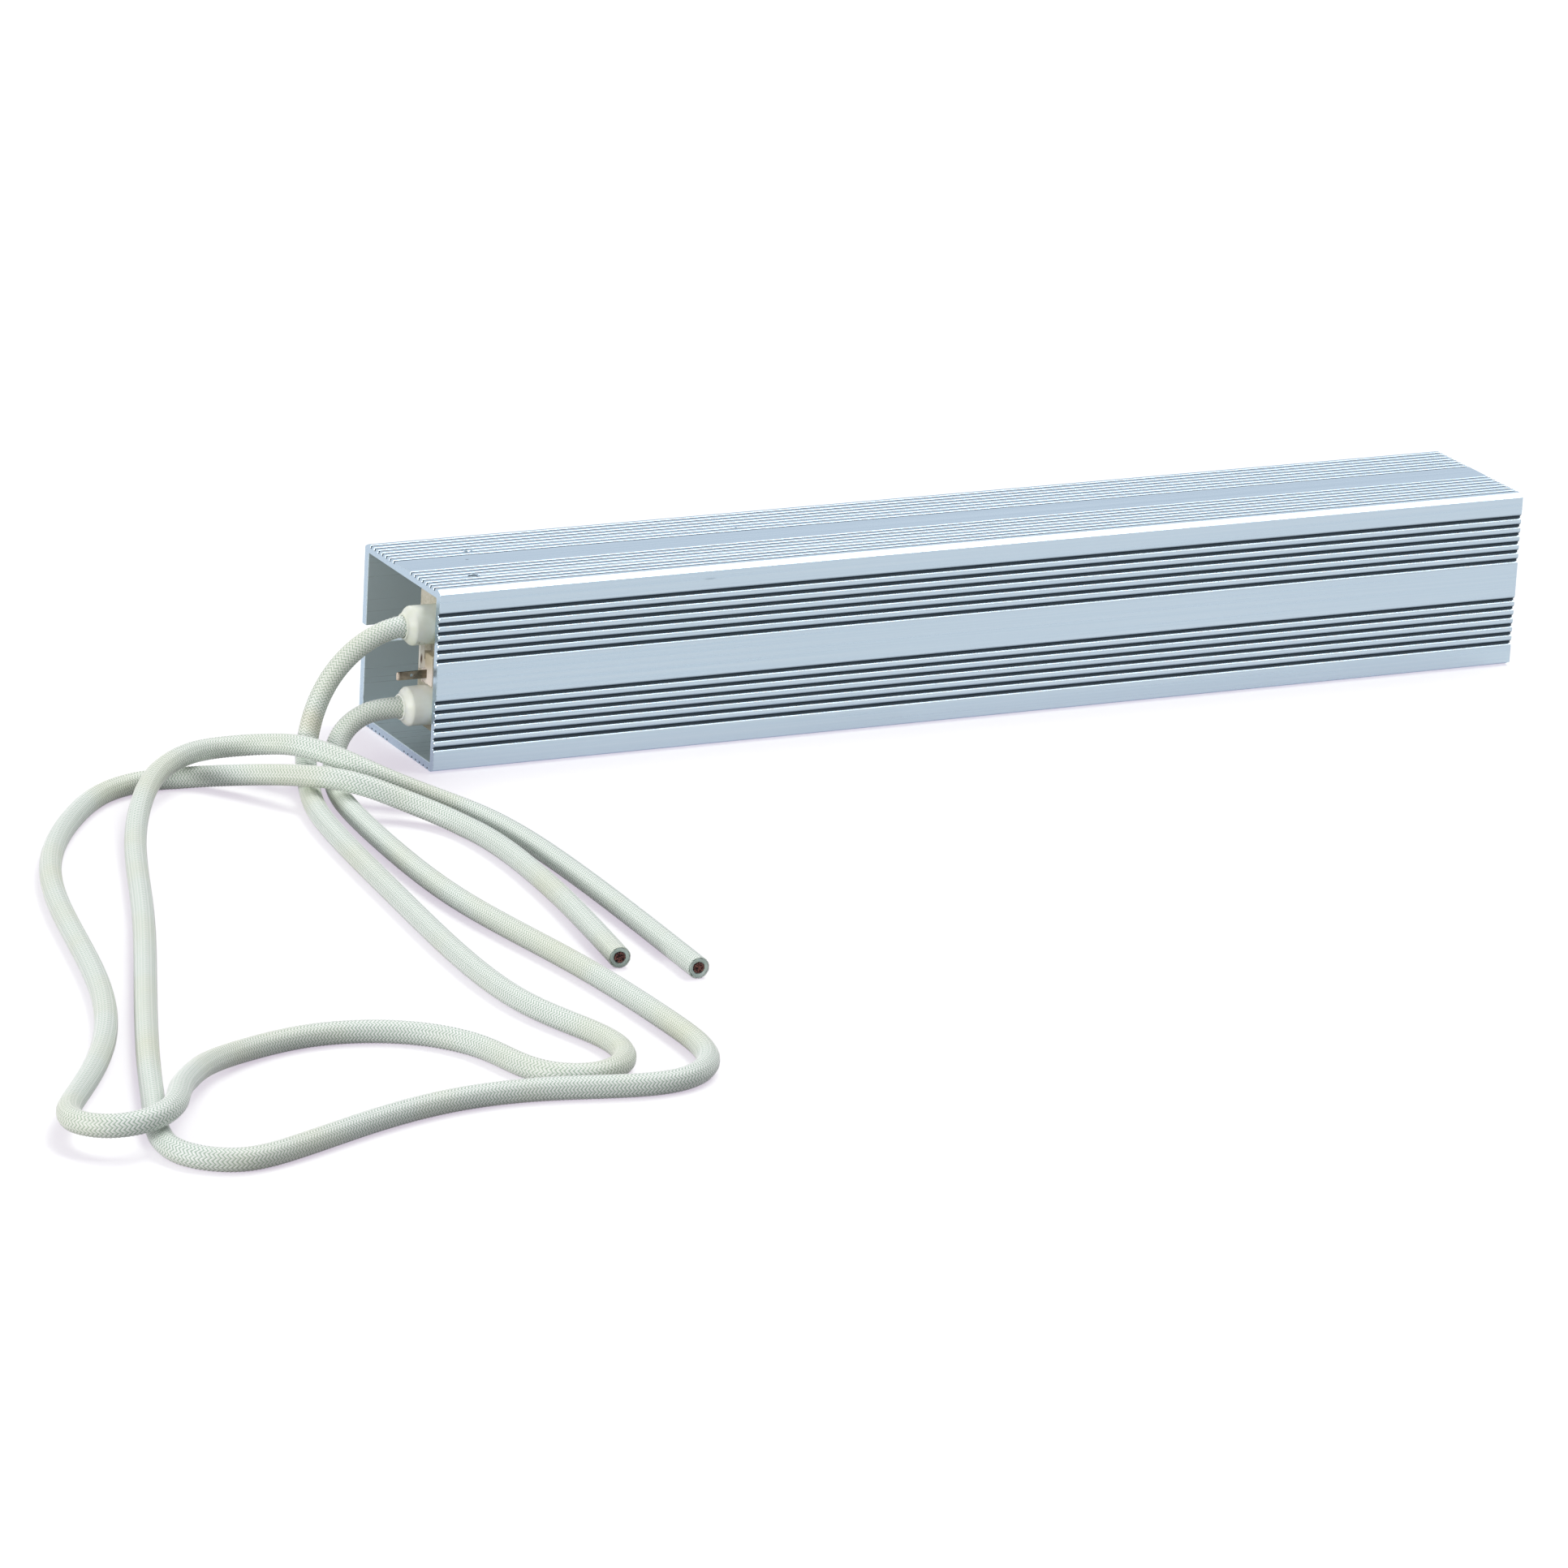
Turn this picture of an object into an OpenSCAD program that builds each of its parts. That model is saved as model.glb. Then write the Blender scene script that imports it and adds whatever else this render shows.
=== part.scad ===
// Dynamic braking resistor: a lipped aluminium channel that holds a cement-potted
// wire element, a heat switch and two braided leads. Millimetres, +Z up.
// The origin is the middle of the channel's bottom face: X runs along the channel,
// the leads leave its end at -X, and its slot is in the wall at +Y.

/* [Channel] */
// Length of the extruded channel
bar_length = 405; // [250:5:600]
// Height of the channel
bar_height = 61; // [58:0.5:70]
// Depth of the channel, from its front face to its slotted face
bar_depth = 59; // [50:0.5:70]
// Thickness of the channel's walls
wall = 3; // [2.4:0.1:4]
// How far the slope on each outer corner reaches across the top and bottom faces
corner_run = 2.6; // [1:0.1:3.2]
// How far the slope on each outer corner falls down the front and rear faces
corner_fall = 1.2; // [0.6:0.1:2.4]
// Width of the slot in the rear wall
slot_width = 6; // [4:0.5:12]

/* [Grooves] */
// Radius of the half-round grooves
groove_radius = 0.9; // [0.5:0.05:1.2]
// Distance from one groove to the next on the front face
front_pitch = 3.05; // [2.6:0.05:3.3]
// Distance from one groove to the next on the top and bottom faces
top_pitch = 3; // [2.6:0.05:3.2]
// Half of the smooth band along the middle of the front face
front_band = 7; // [5:0.25:8]
// Half of the smooth band along the middle of the top and bottom faces
top_band = 6.75; // [5:0.25:7.5]

/* [Fixing holes] */
// Diameter of the tapping holes in the top wall
hole_diameter = 3.3; // [2.5:0.1:4.2]
// Distance of the front hole from the lead end
front_hole_from_end = 18; // [10:0.5:40]
// Distance of the front hole from the front face
front_hole_from_face = 13.75; // [8:0.25:18]
// Distance of the rear hole from the lead end
rear_hole_from_end = 28; // [10:0.5:60]
// Distance of the rear hole from the front face
rear_hole_from_face = 41; // [36:0.25:46]

/* [Potted element] */
// Height of the cement block that hangs under the top wall
block_height = 47; // [46.5:0.5:52]
// Depth of the cement block behind the front wall
block_depth = 19; // [16:0.5:24]
// How far the cement stops short of each end of the channel
block_recess = 3.5; // [0.5:0.1:4]
// Radius on the cement block's lower rear edge
block_edge = 4; // [1:0.5:6]
// Height of the card that carries the wire
former_height = 30; // [24:1:34]
// Thickness of the card that carries the wire
former_thickness = 1.5; // [1:0.1:2.5]
// Height of a turn of the wire above the card
turn_height = 0.8; // [0.5:0.05:1.2]
// Width of a turn of the wire
turn_width = 2; // [1:0.1:3]
// Distance from one turn of the wire to the next
turn_pitch = 6; // [4:0.5:10]
// Thickness of the terminal straps
strap_thickness = 0.8; // [0.5:0.1:1.2]
// Width of the terminal straps
strap_width = 5; // [3:0.5:6]
// Thickness of the insulating sheet under the return strap
sheet_thickness = 0.5; // [0.3:0.1:1]

/* [Leads] */
// Diameter of a braided lead
lead_diameter = 7; // [5:0.1:8]
// Diameter of a lead's bare conductor
core_diameter = 2.6; // [1.6:0.1:3.2]
// Outer diameter of a bushing
bushing_diameter = 12.8; // [11.5:0.1:14]
// Diameter of a bushing's root in the cement
root_diameter = 10; // [9:0.1:11]
// How far a bushing stands out of the channel
bushing_reach = 8.6; // [6:0.1:10]
// Length of a bushing's tapered nose
nose_length = 2.6; // [1:0.1:4]

/* [Heat switch] */
// Height of the switch body
switch_height = 10.2; // [9.5:0.1:11]
// Length of the switch body along the channel
switch_length = 14; // [12:0.5:18]
// Diameter of the switch cap's rim
cap_diameter = 9.6; // [8:0.1:9.6]
// Thickness of the two flat tabs
tab_thickness = 0.5; // [0.4:0.05:0.8]
// Width of the two flat tabs
tab_width = 2.8; // [2:0.1:3]
// How far the straight tab stands out of the switch body
tab_reach = 10.5; // [8:0.5:16]

/* [Hidden] */
$fn = 48;
EPS = 0.01;

// Outer planes of the channel
left = -bar_length / 2;
right = bar_length / 2;
front = -bar_depth / 2;
rear = bar_depth / 2;
inner_front = front + wall;
inner_top = bar_height - wall;

// Grooves in each half of a face
FRONT_GROOVES = 6;
TOP_GROOVES = 7;

// Clearances of the lead in its bushing, the bushing beside the wall, the conductor and the pin
lead_gap = 0.1;
bushing_gap = 0.1;
core_gap = 0.1;
pin_gap = 0.05;

// Planes of the cement block, and the middle of the bushings and the element in it
block_top = inner_top;
block_bottom = block_top - block_height;
block_left = left + block_recess;
block_right = right - block_recess;
middle_y = inner_front + bushing_gap + bushing_diameter / 2;
block_middle_z = block_top - block_height / 2;

// The heat switch sits a little below the block's middle, with a bushing on each side of it
switch_drop = 2;
upper_space = 3.5;
lower_space = 0.5;
switch_z = block_middle_z - switch_drop;
upper_z = switch_z + switch_height / 2 + upper_space + bushing_diameter / 2;
lower_z = switch_z - switch_height / 2 - lower_space - bushing_diameter / 2;

// Places along X, measured from the two ends of the channel
lead_stop = left + 2;
root_end = left + 8;
crimp_end = root_end + 8;
core_end = crimp_end - 1;
former_left = crimp_end + 4;
winding_left = former_left + 8;
sheet_left = winding_left - 3;
former_right = right - 12;
winding_right = former_right - 8;

// Layers of the element, measured from the middle of the block
former_face = former_thickness / 2;
winding_face = former_face + turn_height;
sheet_face = winding_face + sheet_thickness;
strap_face = sheet_face + strap_thickness;

// Thin sleeve that joins the wire's turns into one winding
sleeve_height = 0.3;
turn_count = floor((winding_right - winding_left - turn_width) / turn_pitch) + 1;

// Crimp barrel
crimp_wall = 0.6;
crimp_bore = core_diameter + 2 * core_gap;
crimp_diameter = crimp_bore + 2 * crimp_wall;

// Bushing shoulder and nose
nose_diameter = lead_diameter + 2 * lead_gap + 1.4;
shoulder = 0.9;

// Heat switch, from its cap on the front wall to its cover
cap_plate = 0.6;
cap_wall = 0.4;
cap_depth = 2.2;
disc_thickness = 0.3;
disc_gap = 0.2;
boss_diameter = cap_diameter - 2 * cap_wall;
disc_diameter = boss_diameter - 2 * disc_gap;
switch_front = inner_front + cap_depth;
disc_rear = inner_front + cap_plate + disc_thickness;
pin_diameter = 1.4;
chamber_front = switch_front + 2.8;
switch_rear = switch_front + 6.8;
cover_thickness = 1;
switch_left = left + 0.5;
switch_right = switch_left + switch_length;
switch_bottom = switch_z - switch_height / 2;
switch_top = switch_z + switch_height / 2;
chamber_wall = 1.6;
cap_x = switch_left + switch_length / 2;

// Tabs: the straight one points along the leads, the other is bent upwards
tab_hole = 1.2;
tab_bevel = 0.6;
tab_inset = 4;
straight_tab_y = chamber_front + 0.9;
upright_tab_y = straight_tab_y + tab_thickness + 1;
straight_tab_z = switch_z - tab_width - 0.1;
upright_tab_z = switch_z + 0.1;
upright_offset = 0.3;
upright_leg = 1.8;
upright_clear = 0.5;
upright_top = upper_z - bushing_diameter / 2 - upright_clear;

// Leads: points from the channel's lead end, its front face and the floor
LEAD_SIDES = 8;
lead_y = middle_y - front;
floor_z = lead_diameter / 2;
low_hump = floor_z + 3.5;
high_hump = floor_z + 7.5;
UPPER_ROUTE = [
    [2, lead_y, upper_z], [-9, lead_y, upper_z], [-20, 10, 43.8], [-30.5, 10.8, 34.5], [-37.5, 10.8, 21.5],
    [-42.5, 5, 9.6], [-49, -13, 4], [-56, -38, floor_z], [-65.5, -120, floor_z], [-70, -212, floor_z],
    [-62.5, -243, floor_z], [-59.5, -259, floor_z], [-63.5, -272.5, floor_z], [-75.5, -279.5, floor_z],
    [-88, -275, floor_z], [-94, -262.5, floor_z], [-98, -248, floor_z], [-111, -232, floor_z],
    [-137, -224, floor_z], [-163, -230, 3.8], [-181, -242.5, 5.8], [-193.5, -258.5, 8.6],
    [-202, -272, 10.6], [-209, -284.5, 11.4], [-218.5, -291.5, 10.8], [-229.5, -290, 9.4],
    [-236, -281.5, 8.2], [-235, -270.5, 7], [-226, -254.5, 5.6], [-203, -217, 3.8],
    [-184, -170, floor_z], [-171, -114, floor_z], [-155, -58, floor_z], [-129, -14, floor_z],
    [-105, 8, floor_z], [-83, 10.5, 3.6], [-67, -1, 6.6], [-52.5, -21, high_hump], [-41, -33, high_hump],
    [-29, -41, low_hump], [-18, -58, 3.7], [-15.5, -110, floor_z], [-25, -190, floor_z]
];
LOWER_ROUTE = [
    [2, lead_y, lower_z], [-9, lead_y, lower_z], [-20.5, 9.5, 19.2], [-29.5, 6.5, 14.4], [-35, 0, 9],
    [-39, -10, 4.8], [-43.5, -28, floor_z], [-48, -75, floor_z], [-48, -130, floor_z],
    [-40, -190, floor_z], [-36, -245, floor_z], [-39, -278, floor_z], [-52, -291, floor_z],
    [-70, -292, floor_z], [-94, -287, floor_z], [-122, -286.5, floor_z], [-155, -296, floor_z],
    [-186, -309, floor_z], [-202, -311, floor_z], [-213, -302, floor_z], [-214, -287, floor_z],
    [-207, -265.5, floor_z], [-194.5, -231.5, floor_z], [-170, -170, floor_z], [-144, -105, floor_z],
    [-122, -46, 4.6], [-109, -20, 8.4], [-97, -3, 10.6], [-84, 8.5, 11.4], [-73, 14.2, high_hump],
    [-62, 14.8, high_hump], [-53.5, 9.4, 12.4], [-47.5, -1, 14.4], [-39.5, -13, 13.4], [-29, -24.5, 9.4],
    [-16, -37, 5], [-7, -58, 3.6], [-3.5, -110, floor_z], [-6.5, -206, floor_z]
];

// Box between two corners
module box(low, high) {
    translate(low)
        cube(high - low);
}

// Extrude a section drawn in Y and Z along X
module along_x(from, to) {
    translate([from, 0, 0])
        rotate([90, 0, 90])
            linear_extrude(to - from)
                children();
}

// Solid cylinder along X
module rod_x(from, to, diameter, y, z) {
    translate([from, y, z])
        rotate([0, 90, 0])
            cylinder(h = to - from, d = diameter);
}

// Solid cylinder along Y
module rod_y(from, to, diameter, x, z) {
    translate([x, from, z])
        rotate([-90, 0, 0])
            cylinder(h = to - from, d = diameter);
}

// Outline of the channel, with a flat slope on each corner
module sloped_outline() {
    polygon([
        [front + corner_run, 0], [rear - corner_run, 0], [rear, corner_fall],
        [rear, bar_height - corner_fall], [rear - corner_run, bar_height],
        [front + corner_run, bar_height], [front, bar_height - corner_fall], [front, corner_fall]
    ]);
}

// Places of a face's grooves on both sides of its middle
function groove_places(count, band, pitch) =
    [for (side = [-1, 1], k = [0 : count - 1]) side * (band + k * pitch)];

// Section of the channel in Y and Z
module channel_section() {
    difference() {
        sloped_outline();
        translate([inner_front, wall])
            square([bar_depth - 2 * wall, bar_height - 2 * wall]);
        translate([rear - wall - EPS, (bar_height - slot_width) / 2])
            square([wall + 2 * EPS, slot_width]);
        for (place = groove_places(FRONT_GROOVES, front_band, front_pitch))
            translate([front, bar_height / 2 + place])
                circle(groove_radius);
        for (place = groove_places(TOP_GROOVES, top_band, top_pitch), z = [0, bar_height])
            translate([place, z])
                circle(groove_radius);
    }
}

// Tapping hole through the top wall
module tapping_hole(from_end, from_face) {
    translate([left + from_end, front + from_face, inner_top - EPS])
        cylinder(h = wall + 2 * EPS, d = hole_diameter);
}

module housing() {
    color([0.72, 0.75, 0.79])
        difference() {
            along_x(left, right)
                channel_section();
            tapping_hole(front_hole_from_end, front_hole_from_face);
            tapping_hole(rear_hole_from_end, rear_hole_from_face);
        }
}

// Cement block's section in Y and Z, with its lower rear edge rounded
module block_section() {
    back = inner_front + block_depth;
    translate([inner_front, block_bottom + block_edge])
        square([block_depth, block_height - block_edge]);
    translate([inner_front, block_bottom])
        square([block_depth - block_edge, block_height]);
    translate([back - block_edge, block_bottom + block_edge])
        circle(block_edge);
}

module cement_block() {
    color([0.80, 0.76, 0.66])
        difference() {
            along_x(block_left, block_right)
                block_section();
            former_solid();
            winding_envelope();
            near_strap();
            far_block();
            return_strap_solid();
            sheet_solid();
            for (z = [upper_z, lower_z]) {
                rod_x(root_end, crimp_end, crimp_diameter, middle_y, z);
                rod_x(block_left - EPS, root_end, root_diameter, middle_y, z);
            }
            box([block_left - EPS, switch_front, switch_bottom],
                [switch_right, switch_rear + cover_thickness, switch_top]);
            rod_y(inner_front - EPS, switch_front, cap_diameter, cap_x, switch_z);
        }
}

module former_solid() {
    box([former_left, middle_y - former_face, block_middle_z - former_height / 2],
        [former_right, middle_y + former_face, block_middle_z + former_height / 2]);
}

module winding_former() {
    color([0.86, 0.83, 0.76])
        former_solid();
}

// Box around the card out to a given height above its faces
module card_sleeve(from, to, height) {
    half = former_height / 2 + height;
    box([from, middle_y - former_face - height, block_middle_z - half],
        [to, middle_y + former_face + height, block_middle_z + half]);
}

module winding_envelope() {
    card_sleeve(winding_left, winding_right, turn_height);
}

module resistance_winding() {
    color([0.45, 0.42, 0.38])
        difference() {
            union() {
                card_sleeve(winding_left, winding_right, sleeve_height);
                for (k = [0 : turn_count - 1]) {
                    start = winding_left + k * turn_pitch;
                    card_sleeve(start, start + turn_width, turn_height);
                }
            }
            former_solid();
        }
}

// Strap from the upper lead's crimp to the first turn of the wire
module near_strap() {
    box([crimp_end, middle_y + former_face, upper_z - strap_width / 2],
        [winding_left, middle_y + former_face + strap_thickness, upper_z + strap_width / 2]);
}

module near_terminal() {
    color([0.70, 0.68, 0.62])
        near_strap();
}

// Block between the last turn of the wire and the return strap
module far_block() {
    box([winding_right, middle_y + former_face, lower_z - strap_width / 2],
        [former_right, middle_y + sheet_face, lower_z + strap_width / 2]);
}

module far_terminal() {
    color([0.70, 0.68, 0.62])
        far_block();
}

// Strap along the back of the element to the lower lead's crimp
module return_strap_solid() {
    low_z = lower_z - strap_width / 2;
    high_z = lower_z + strap_width / 2;
    box([crimp_end, middle_y + former_face, low_z], [sheet_left, middle_y + strap_face, high_z]);
    box([crimp_end, middle_y + sheet_face, low_z], [former_right, middle_y + strap_face, high_z]);
}

module return_strap() {
    color([0.70, 0.68, 0.62])
        return_strap_solid();
}

module sheet_solid() {
    margin = 1;
    box([sheet_left, middle_y + winding_face, lower_z - strap_width / 2 - margin],
        [winding_right, middle_y + sheet_face, lower_z + strap_width / 2 + margin]);
}

module insulating_sheet() {
    color([0.88, 0.86, 0.78])
        sheet_solid();
}

// Barrel that grips a lead's conductor
module crimp(z) {
    color([0.66, 0.66, 0.66])
        difference() {
            rod_x(root_end, crimp_end, crimp_diameter, middle_y, z);
            rod_x(root_end - EPS, core_end, crimp_bore, middle_y, z);
        }
}

module upper_crimp() {
    crimp(upper_z);
}

module lower_crimp() {
    crimp(lower_z);
}

// Stripped conductor between a lead and its crimp
module core(z) {
    color([0.55, 0.36, 0.24])
        rod_x(lead_stop, core_end, core_diameter, middle_y, z);
}

module upper_core() {
    core(upper_z);
}

module lower_core() {
    core(lower_z);
}

// Bushing turned about the lead's axis, with a rounded shoulder and a tapered nose
module bushing(z) {
    radius = bushing_diameter / 2;
    bore = lead_diameter / 2 + lead_gap;
    core_bore = core_diameter / 2 + core_gap;
    tip = bushing_reach;
    neck = bushing_reach - nose_length;
    seat = -block_recess;
    stop = left - lead_stop;
    foot = left - root_end;
    color([0.90, 0.92, 0.86])
        translate([left, middle_y, z])
            rotate([0, -90, 0])
                rotate_extrude()
                    polygon([
                        [core_bore, foot], [root_diameter / 2, foot], [root_diameter / 2, seat],
                        [radius, seat], [radius, neck - shoulder],
                        [radius - shoulder / 3, neck - shoulder / 3],
                        [radius - shoulder, neck + shoulder / 3], [nose_diameter / 2, tip],
                        [bore, tip], [bore, stop], [core_bore, stop]
                    ]);
}

module upper_bushing() {
    bushing(upper_z);
}

module lower_bushing() {
    bushing(lower_z);
}

// Vector of length 1 in the direction of another
function unit(v) = v / norm(v);

// Direction of a route at one of its points
function heading(route, i) =
    unit(route[min(i + 1, len(route) - 1)] - route[max(i - 1, 0)]);

// Direction across a route, carried from point to point without twist
function carried(route, i) =
    let (ahead = heading(route, i), last = i == 0 ? [0, 0, 1] : carried(route, i - 1))
        unit(last - (last * ahead) * ahead);

// Ring of points around a route's point
function ring(route, i) =
    let (ahead = heading(route, i), up = carried(route, i), side = cross(ahead, up))
        [for (k = [0 : LEAD_SIDES - 1])
            let (angle = 360 * (k + 0.5) / LEAD_SIDES)
                route[i] + lead_diameter / 2 * (cos(angle) * up + sin(angle) * side)];

// Round tube through a route's points
module swept_lead(route) {
    count = len(route);
    points = [for (i = [0 : count - 1]) each ring(route, i)];
    sides = [for (i = [0 : count - 2], k = [0 : LEAD_SIDES - 1])
        let (a = i * LEAD_SIDES + k, b = i * LEAD_SIDES + (k + 1) % LEAD_SIDES)
            each [[a, a + LEAD_SIDES, b + LEAD_SIDES], [a, b + LEAD_SIDES, b]]];
    first = [for (k = [0 : LEAD_SIDES - 1]) k];
    last = [for (k = [LEAD_SIDES - 1 : -1 : 0]) (count - 1) * LEAD_SIDES + k];
    translate([left, front, 0])
        polyhedron(points, concat(sides, [first, last]));
}

module upper_lead() {
    color([0.88, 0.89, 0.82])
        swept_lead(UPPER_ROUTE);
}

module lower_lead() {
    color([0.88, 0.89, 0.82])
        swept_lead(LOWER_ROUTE);
}

// Slot for a tab through the left wall of the switch body
module tab_slot(y, z) {
    box([switch_left - EPS, y, z], [switch_left + chamber_wall + EPS, y + tab_thickness, z + tab_width]);
}

module switch_body() {
    color([0.88, 0.82, 0.77])
        difference() {
            union() {
                box([switch_left, switch_front, switch_bottom], [switch_right, switch_rear, switch_top]);
                rod_y(disc_rear, switch_front, boss_diameter, cap_x, switch_z);
            }
            box([switch_left + chamber_wall, chamber_front, switch_bottom + chamber_wall],
                [switch_right - chamber_wall, switch_rear + EPS, switch_top - chamber_wall]);
            rod_y(disc_rear - EPS, chamber_front + EPS, pin_diameter + 2 * pin_gap, cap_x, switch_z);
            tab_slot(straight_tab_y, straight_tab_z);
            tab_slot(upright_tab_y, upright_tab_z);
        }
}

module switch_cap() {
    color([0.78, 0.79, 0.80])
        difference() {
            rod_y(inner_front, switch_front, cap_diameter, cap_x, switch_z);
            rod_y(inner_front + cap_plate, switch_front + EPS, boss_diameter, cap_x, switch_z);
        }
}

module switch_disc() {
    color([0.60, 0.58, 0.52])
        rod_y(inner_front + cap_plate, disc_rear, disc_diameter, cap_x, switch_z);
}

module switch_pin() {
    color([0.92, 0.91, 0.87])
        rod_y(disc_rear, straight_tab_y, pin_diameter, cap_x, switch_z);
}

module switch_cover() {
    color([0.88, 0.82, 0.77])
        box([switch_left, switch_rear, switch_bottom],
            [switch_right, switch_rear + cover_thickness, switch_top]);
}

// Flat tab with its outline in X and Z
module flat_tab(y) {
    color([0.36, 0.33, 0.27])
        translate([0, y + tab_thickness, 0])
            rotate([90, 0, 0])
                linear_extrude(tab_thickness)
                    children();
}

module straight_tab() {
    tip = switch_left - tab_reach;
    root = switch_right - tab_inset;
    high = straight_tab_z + tab_width;
    flat_tab(straight_tab_y)
        difference() {
            polygon([
                [root, straight_tab_z], [root, high], [tip + tab_bevel, high], [tip, high - tab_bevel],
                [tip, straight_tab_z + tab_bevel], [tip + tab_bevel, straight_tab_z]
            ]);
            translate([switch_left - tab_reach / 2, straight_tab_z + tab_width / 2])
                circle(d = tab_hole);
        }
}

module upright_tab() {
    near = switch_left - upright_offset;
    far = near - upright_leg;
    root = switch_right - tab_inset;
    high = upright_tab_z + tab_width;
    flat_tab(upright_tab_y)
        polygon([
            [root, upright_tab_z], [root, high], [near, high], [near, upright_top - tab_bevel],
            [near - tab_bevel, upright_top], [far + tab_bevel, upright_top], [far, upright_top - tab_bevel],
            [far, upright_tab_z]
        ]);
}

housing();
cement_block();
winding_former();
resistance_winding();
near_terminal();
far_terminal();
return_strap();
insulating_sheet();
upper_crimp();
lower_crimp();
upper_core();
lower_core();
upper_bushing();
lower_bushing();
upper_lead();
lower_lead();
switch_body();
switch_cap();
switch_disc();
switch_pin();
switch_cover();
straight_tab();
upright_tab();
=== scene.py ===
"""Looks of a dynamic braking resistor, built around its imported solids.

A grooved aluminium channel holds a cement-potted wire element. Two leads with a glass-fibre
braid leave its end through pale collars, and the tabs of a heat switch stand between them.
Every piece is in metres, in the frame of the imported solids.
"""

import logging
import math
from dataclasses import dataclass, replace
from enum import Enum

import bpy
import numpy as np
from mathutils import Matrix, Vector

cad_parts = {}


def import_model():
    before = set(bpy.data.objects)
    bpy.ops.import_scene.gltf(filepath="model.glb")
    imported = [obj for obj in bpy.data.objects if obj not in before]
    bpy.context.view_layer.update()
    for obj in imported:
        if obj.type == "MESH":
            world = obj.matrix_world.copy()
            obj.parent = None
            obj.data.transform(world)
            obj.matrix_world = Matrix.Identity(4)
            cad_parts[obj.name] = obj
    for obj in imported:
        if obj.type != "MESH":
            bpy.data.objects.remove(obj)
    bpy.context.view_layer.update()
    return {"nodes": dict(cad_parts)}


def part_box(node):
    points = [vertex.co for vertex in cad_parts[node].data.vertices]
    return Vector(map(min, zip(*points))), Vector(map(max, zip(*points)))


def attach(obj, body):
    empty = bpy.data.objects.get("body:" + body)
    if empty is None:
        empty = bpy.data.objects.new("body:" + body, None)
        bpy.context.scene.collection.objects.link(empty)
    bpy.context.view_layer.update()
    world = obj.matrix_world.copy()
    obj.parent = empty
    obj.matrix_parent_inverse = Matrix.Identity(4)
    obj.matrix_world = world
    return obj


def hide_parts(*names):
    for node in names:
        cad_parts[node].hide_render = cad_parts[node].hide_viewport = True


LOG = logging.getLogger("braking_resistor")
MM = 0.001
BODY = "root"
Point = tuple[float, float, float]

# Inputs of a colour mix: the share, the colour under it and the colour over it
SHARE, UNDER, OVER = 0, 6, 7

# Points of the leads' routes from the channel's lead end, its front face and the floor, in millimetres
ROUTES = {
    "upper": (
        (2, 9.5, 47.5), (-9, 9.5, 47.5), (-20, 10, 43.8), (-30.5, 10.8, 34.5), (-37.5, 10.8, 21.5),
        (-42.5, 5, 9.6), (-49, -13, 4), (-56, -38, 3.5), (-65.5, -120, 3.5), (-70, -212, 3.5),
        (-62.5, -243, 3.5), (-59.5, -259, 3.5), (-63.5, -272.5, 3.5), (-75.5, -279.5, 3.5), (-88, -275, 3.5),
        (-94, -262.5, 3.5), (-98, -248, 3.5), (-111, -232, 3.5), (-137, -224, 3.5), (-163, -230, 3.8),
        (-181, -242.5, 5.8), (-193.5, -258.5, 8.6), (-202, -272, 10.6), (-209, -284.5, 11.4),
        (-218.5, -291.5, 10.8), (-229.5, -290, 9.4), (-236, -281.5, 8.2), (-235, -270.5, 7),
        (-226, -254.5, 5.6), (-203, -217, 3.8), (-184, -170, 3.5), (-171, -114, 3.5), (-155, -58, 3.5),
        (-129, -14, 3.5), (-105, 8, 3.5), (-83, 10.5, 3.6), (-67, -1, 6.6), (-52.5, -21, 11),
        (-41, -33, 11), (-29, -41, 7), (-18, -58, 3.7), (-15.5, -110, 3.5), (-25, -190, 3.5),
    ),
    "lower": (
        (2, 9.5, 20.5), (-9, 9.5, 20.5), (-20.5, 9.5, 19.2), (-29.5, 6.5, 14.4), (-35, 0, 9), (-39, -10, 4.8),
        (-43.5, -28, 3.5), (-48, -75, 3.5), (-48, -130, 3.5), (-40, -190, 3.5), (-36, -245, 3.5),
        (-39, -278, 3.5), (-52, -291, 3.5), (-70, -292, 3.5), (-94, -287, 3.5), (-122, -286.5, 3.5),
        (-155, -296, 3.5), (-186, -309, 3.5), (-202, -311, 3.5), (-213, -302, 3.5), (-214, -287, 3.5),
        (-207, -265.5, 3.5), (-194.5, -231.5, 3.5), (-170, -170, 3.5), (-144, -105, 3.5), (-122, -46, 4.6),
        (-109, -20, 8.4), (-97, -3, 10.6), (-84, 8.5, 11.4), (-73, 14.2, 11), (-62, 14.8, 11),
        (-53.5, 9.4, 12.4), (-47.5, -1, 14.4), (-39.5, -13, 13.4), (-29, -24.5, 9.4), (-16, -37, 5),
        (-7, -58, 3.6), (-3.5, -110, 3.5), (-6.5, -206, 3.5),
    ),
}


class Shading(Enum):
    """How a piece's faces meet: one smooth skin, or creased where they turn sharply."""

    SMOOTH = 180.0
    CREASED = 35.0


def linear(hex_colour: str) -> tuple[float, float, float, float]:
    """Turn an sRGB hex colour into linear light.

    Args:
        hex_colour: six hex digits after a hash sign.

    Returns:
        Linear red, green and blue, and an alpha of 1.
    """
    encoded = np.array([int(hex_colour[i : i + 2], 16) for i in (1, 3, 5)]) / 255
    light = np.where(encoded <= 0.04045, encoded / 12.92, ((encoded + 0.055) / 1.055) ** 2.4)
    return (*light.tolist(), 1.0)


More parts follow.
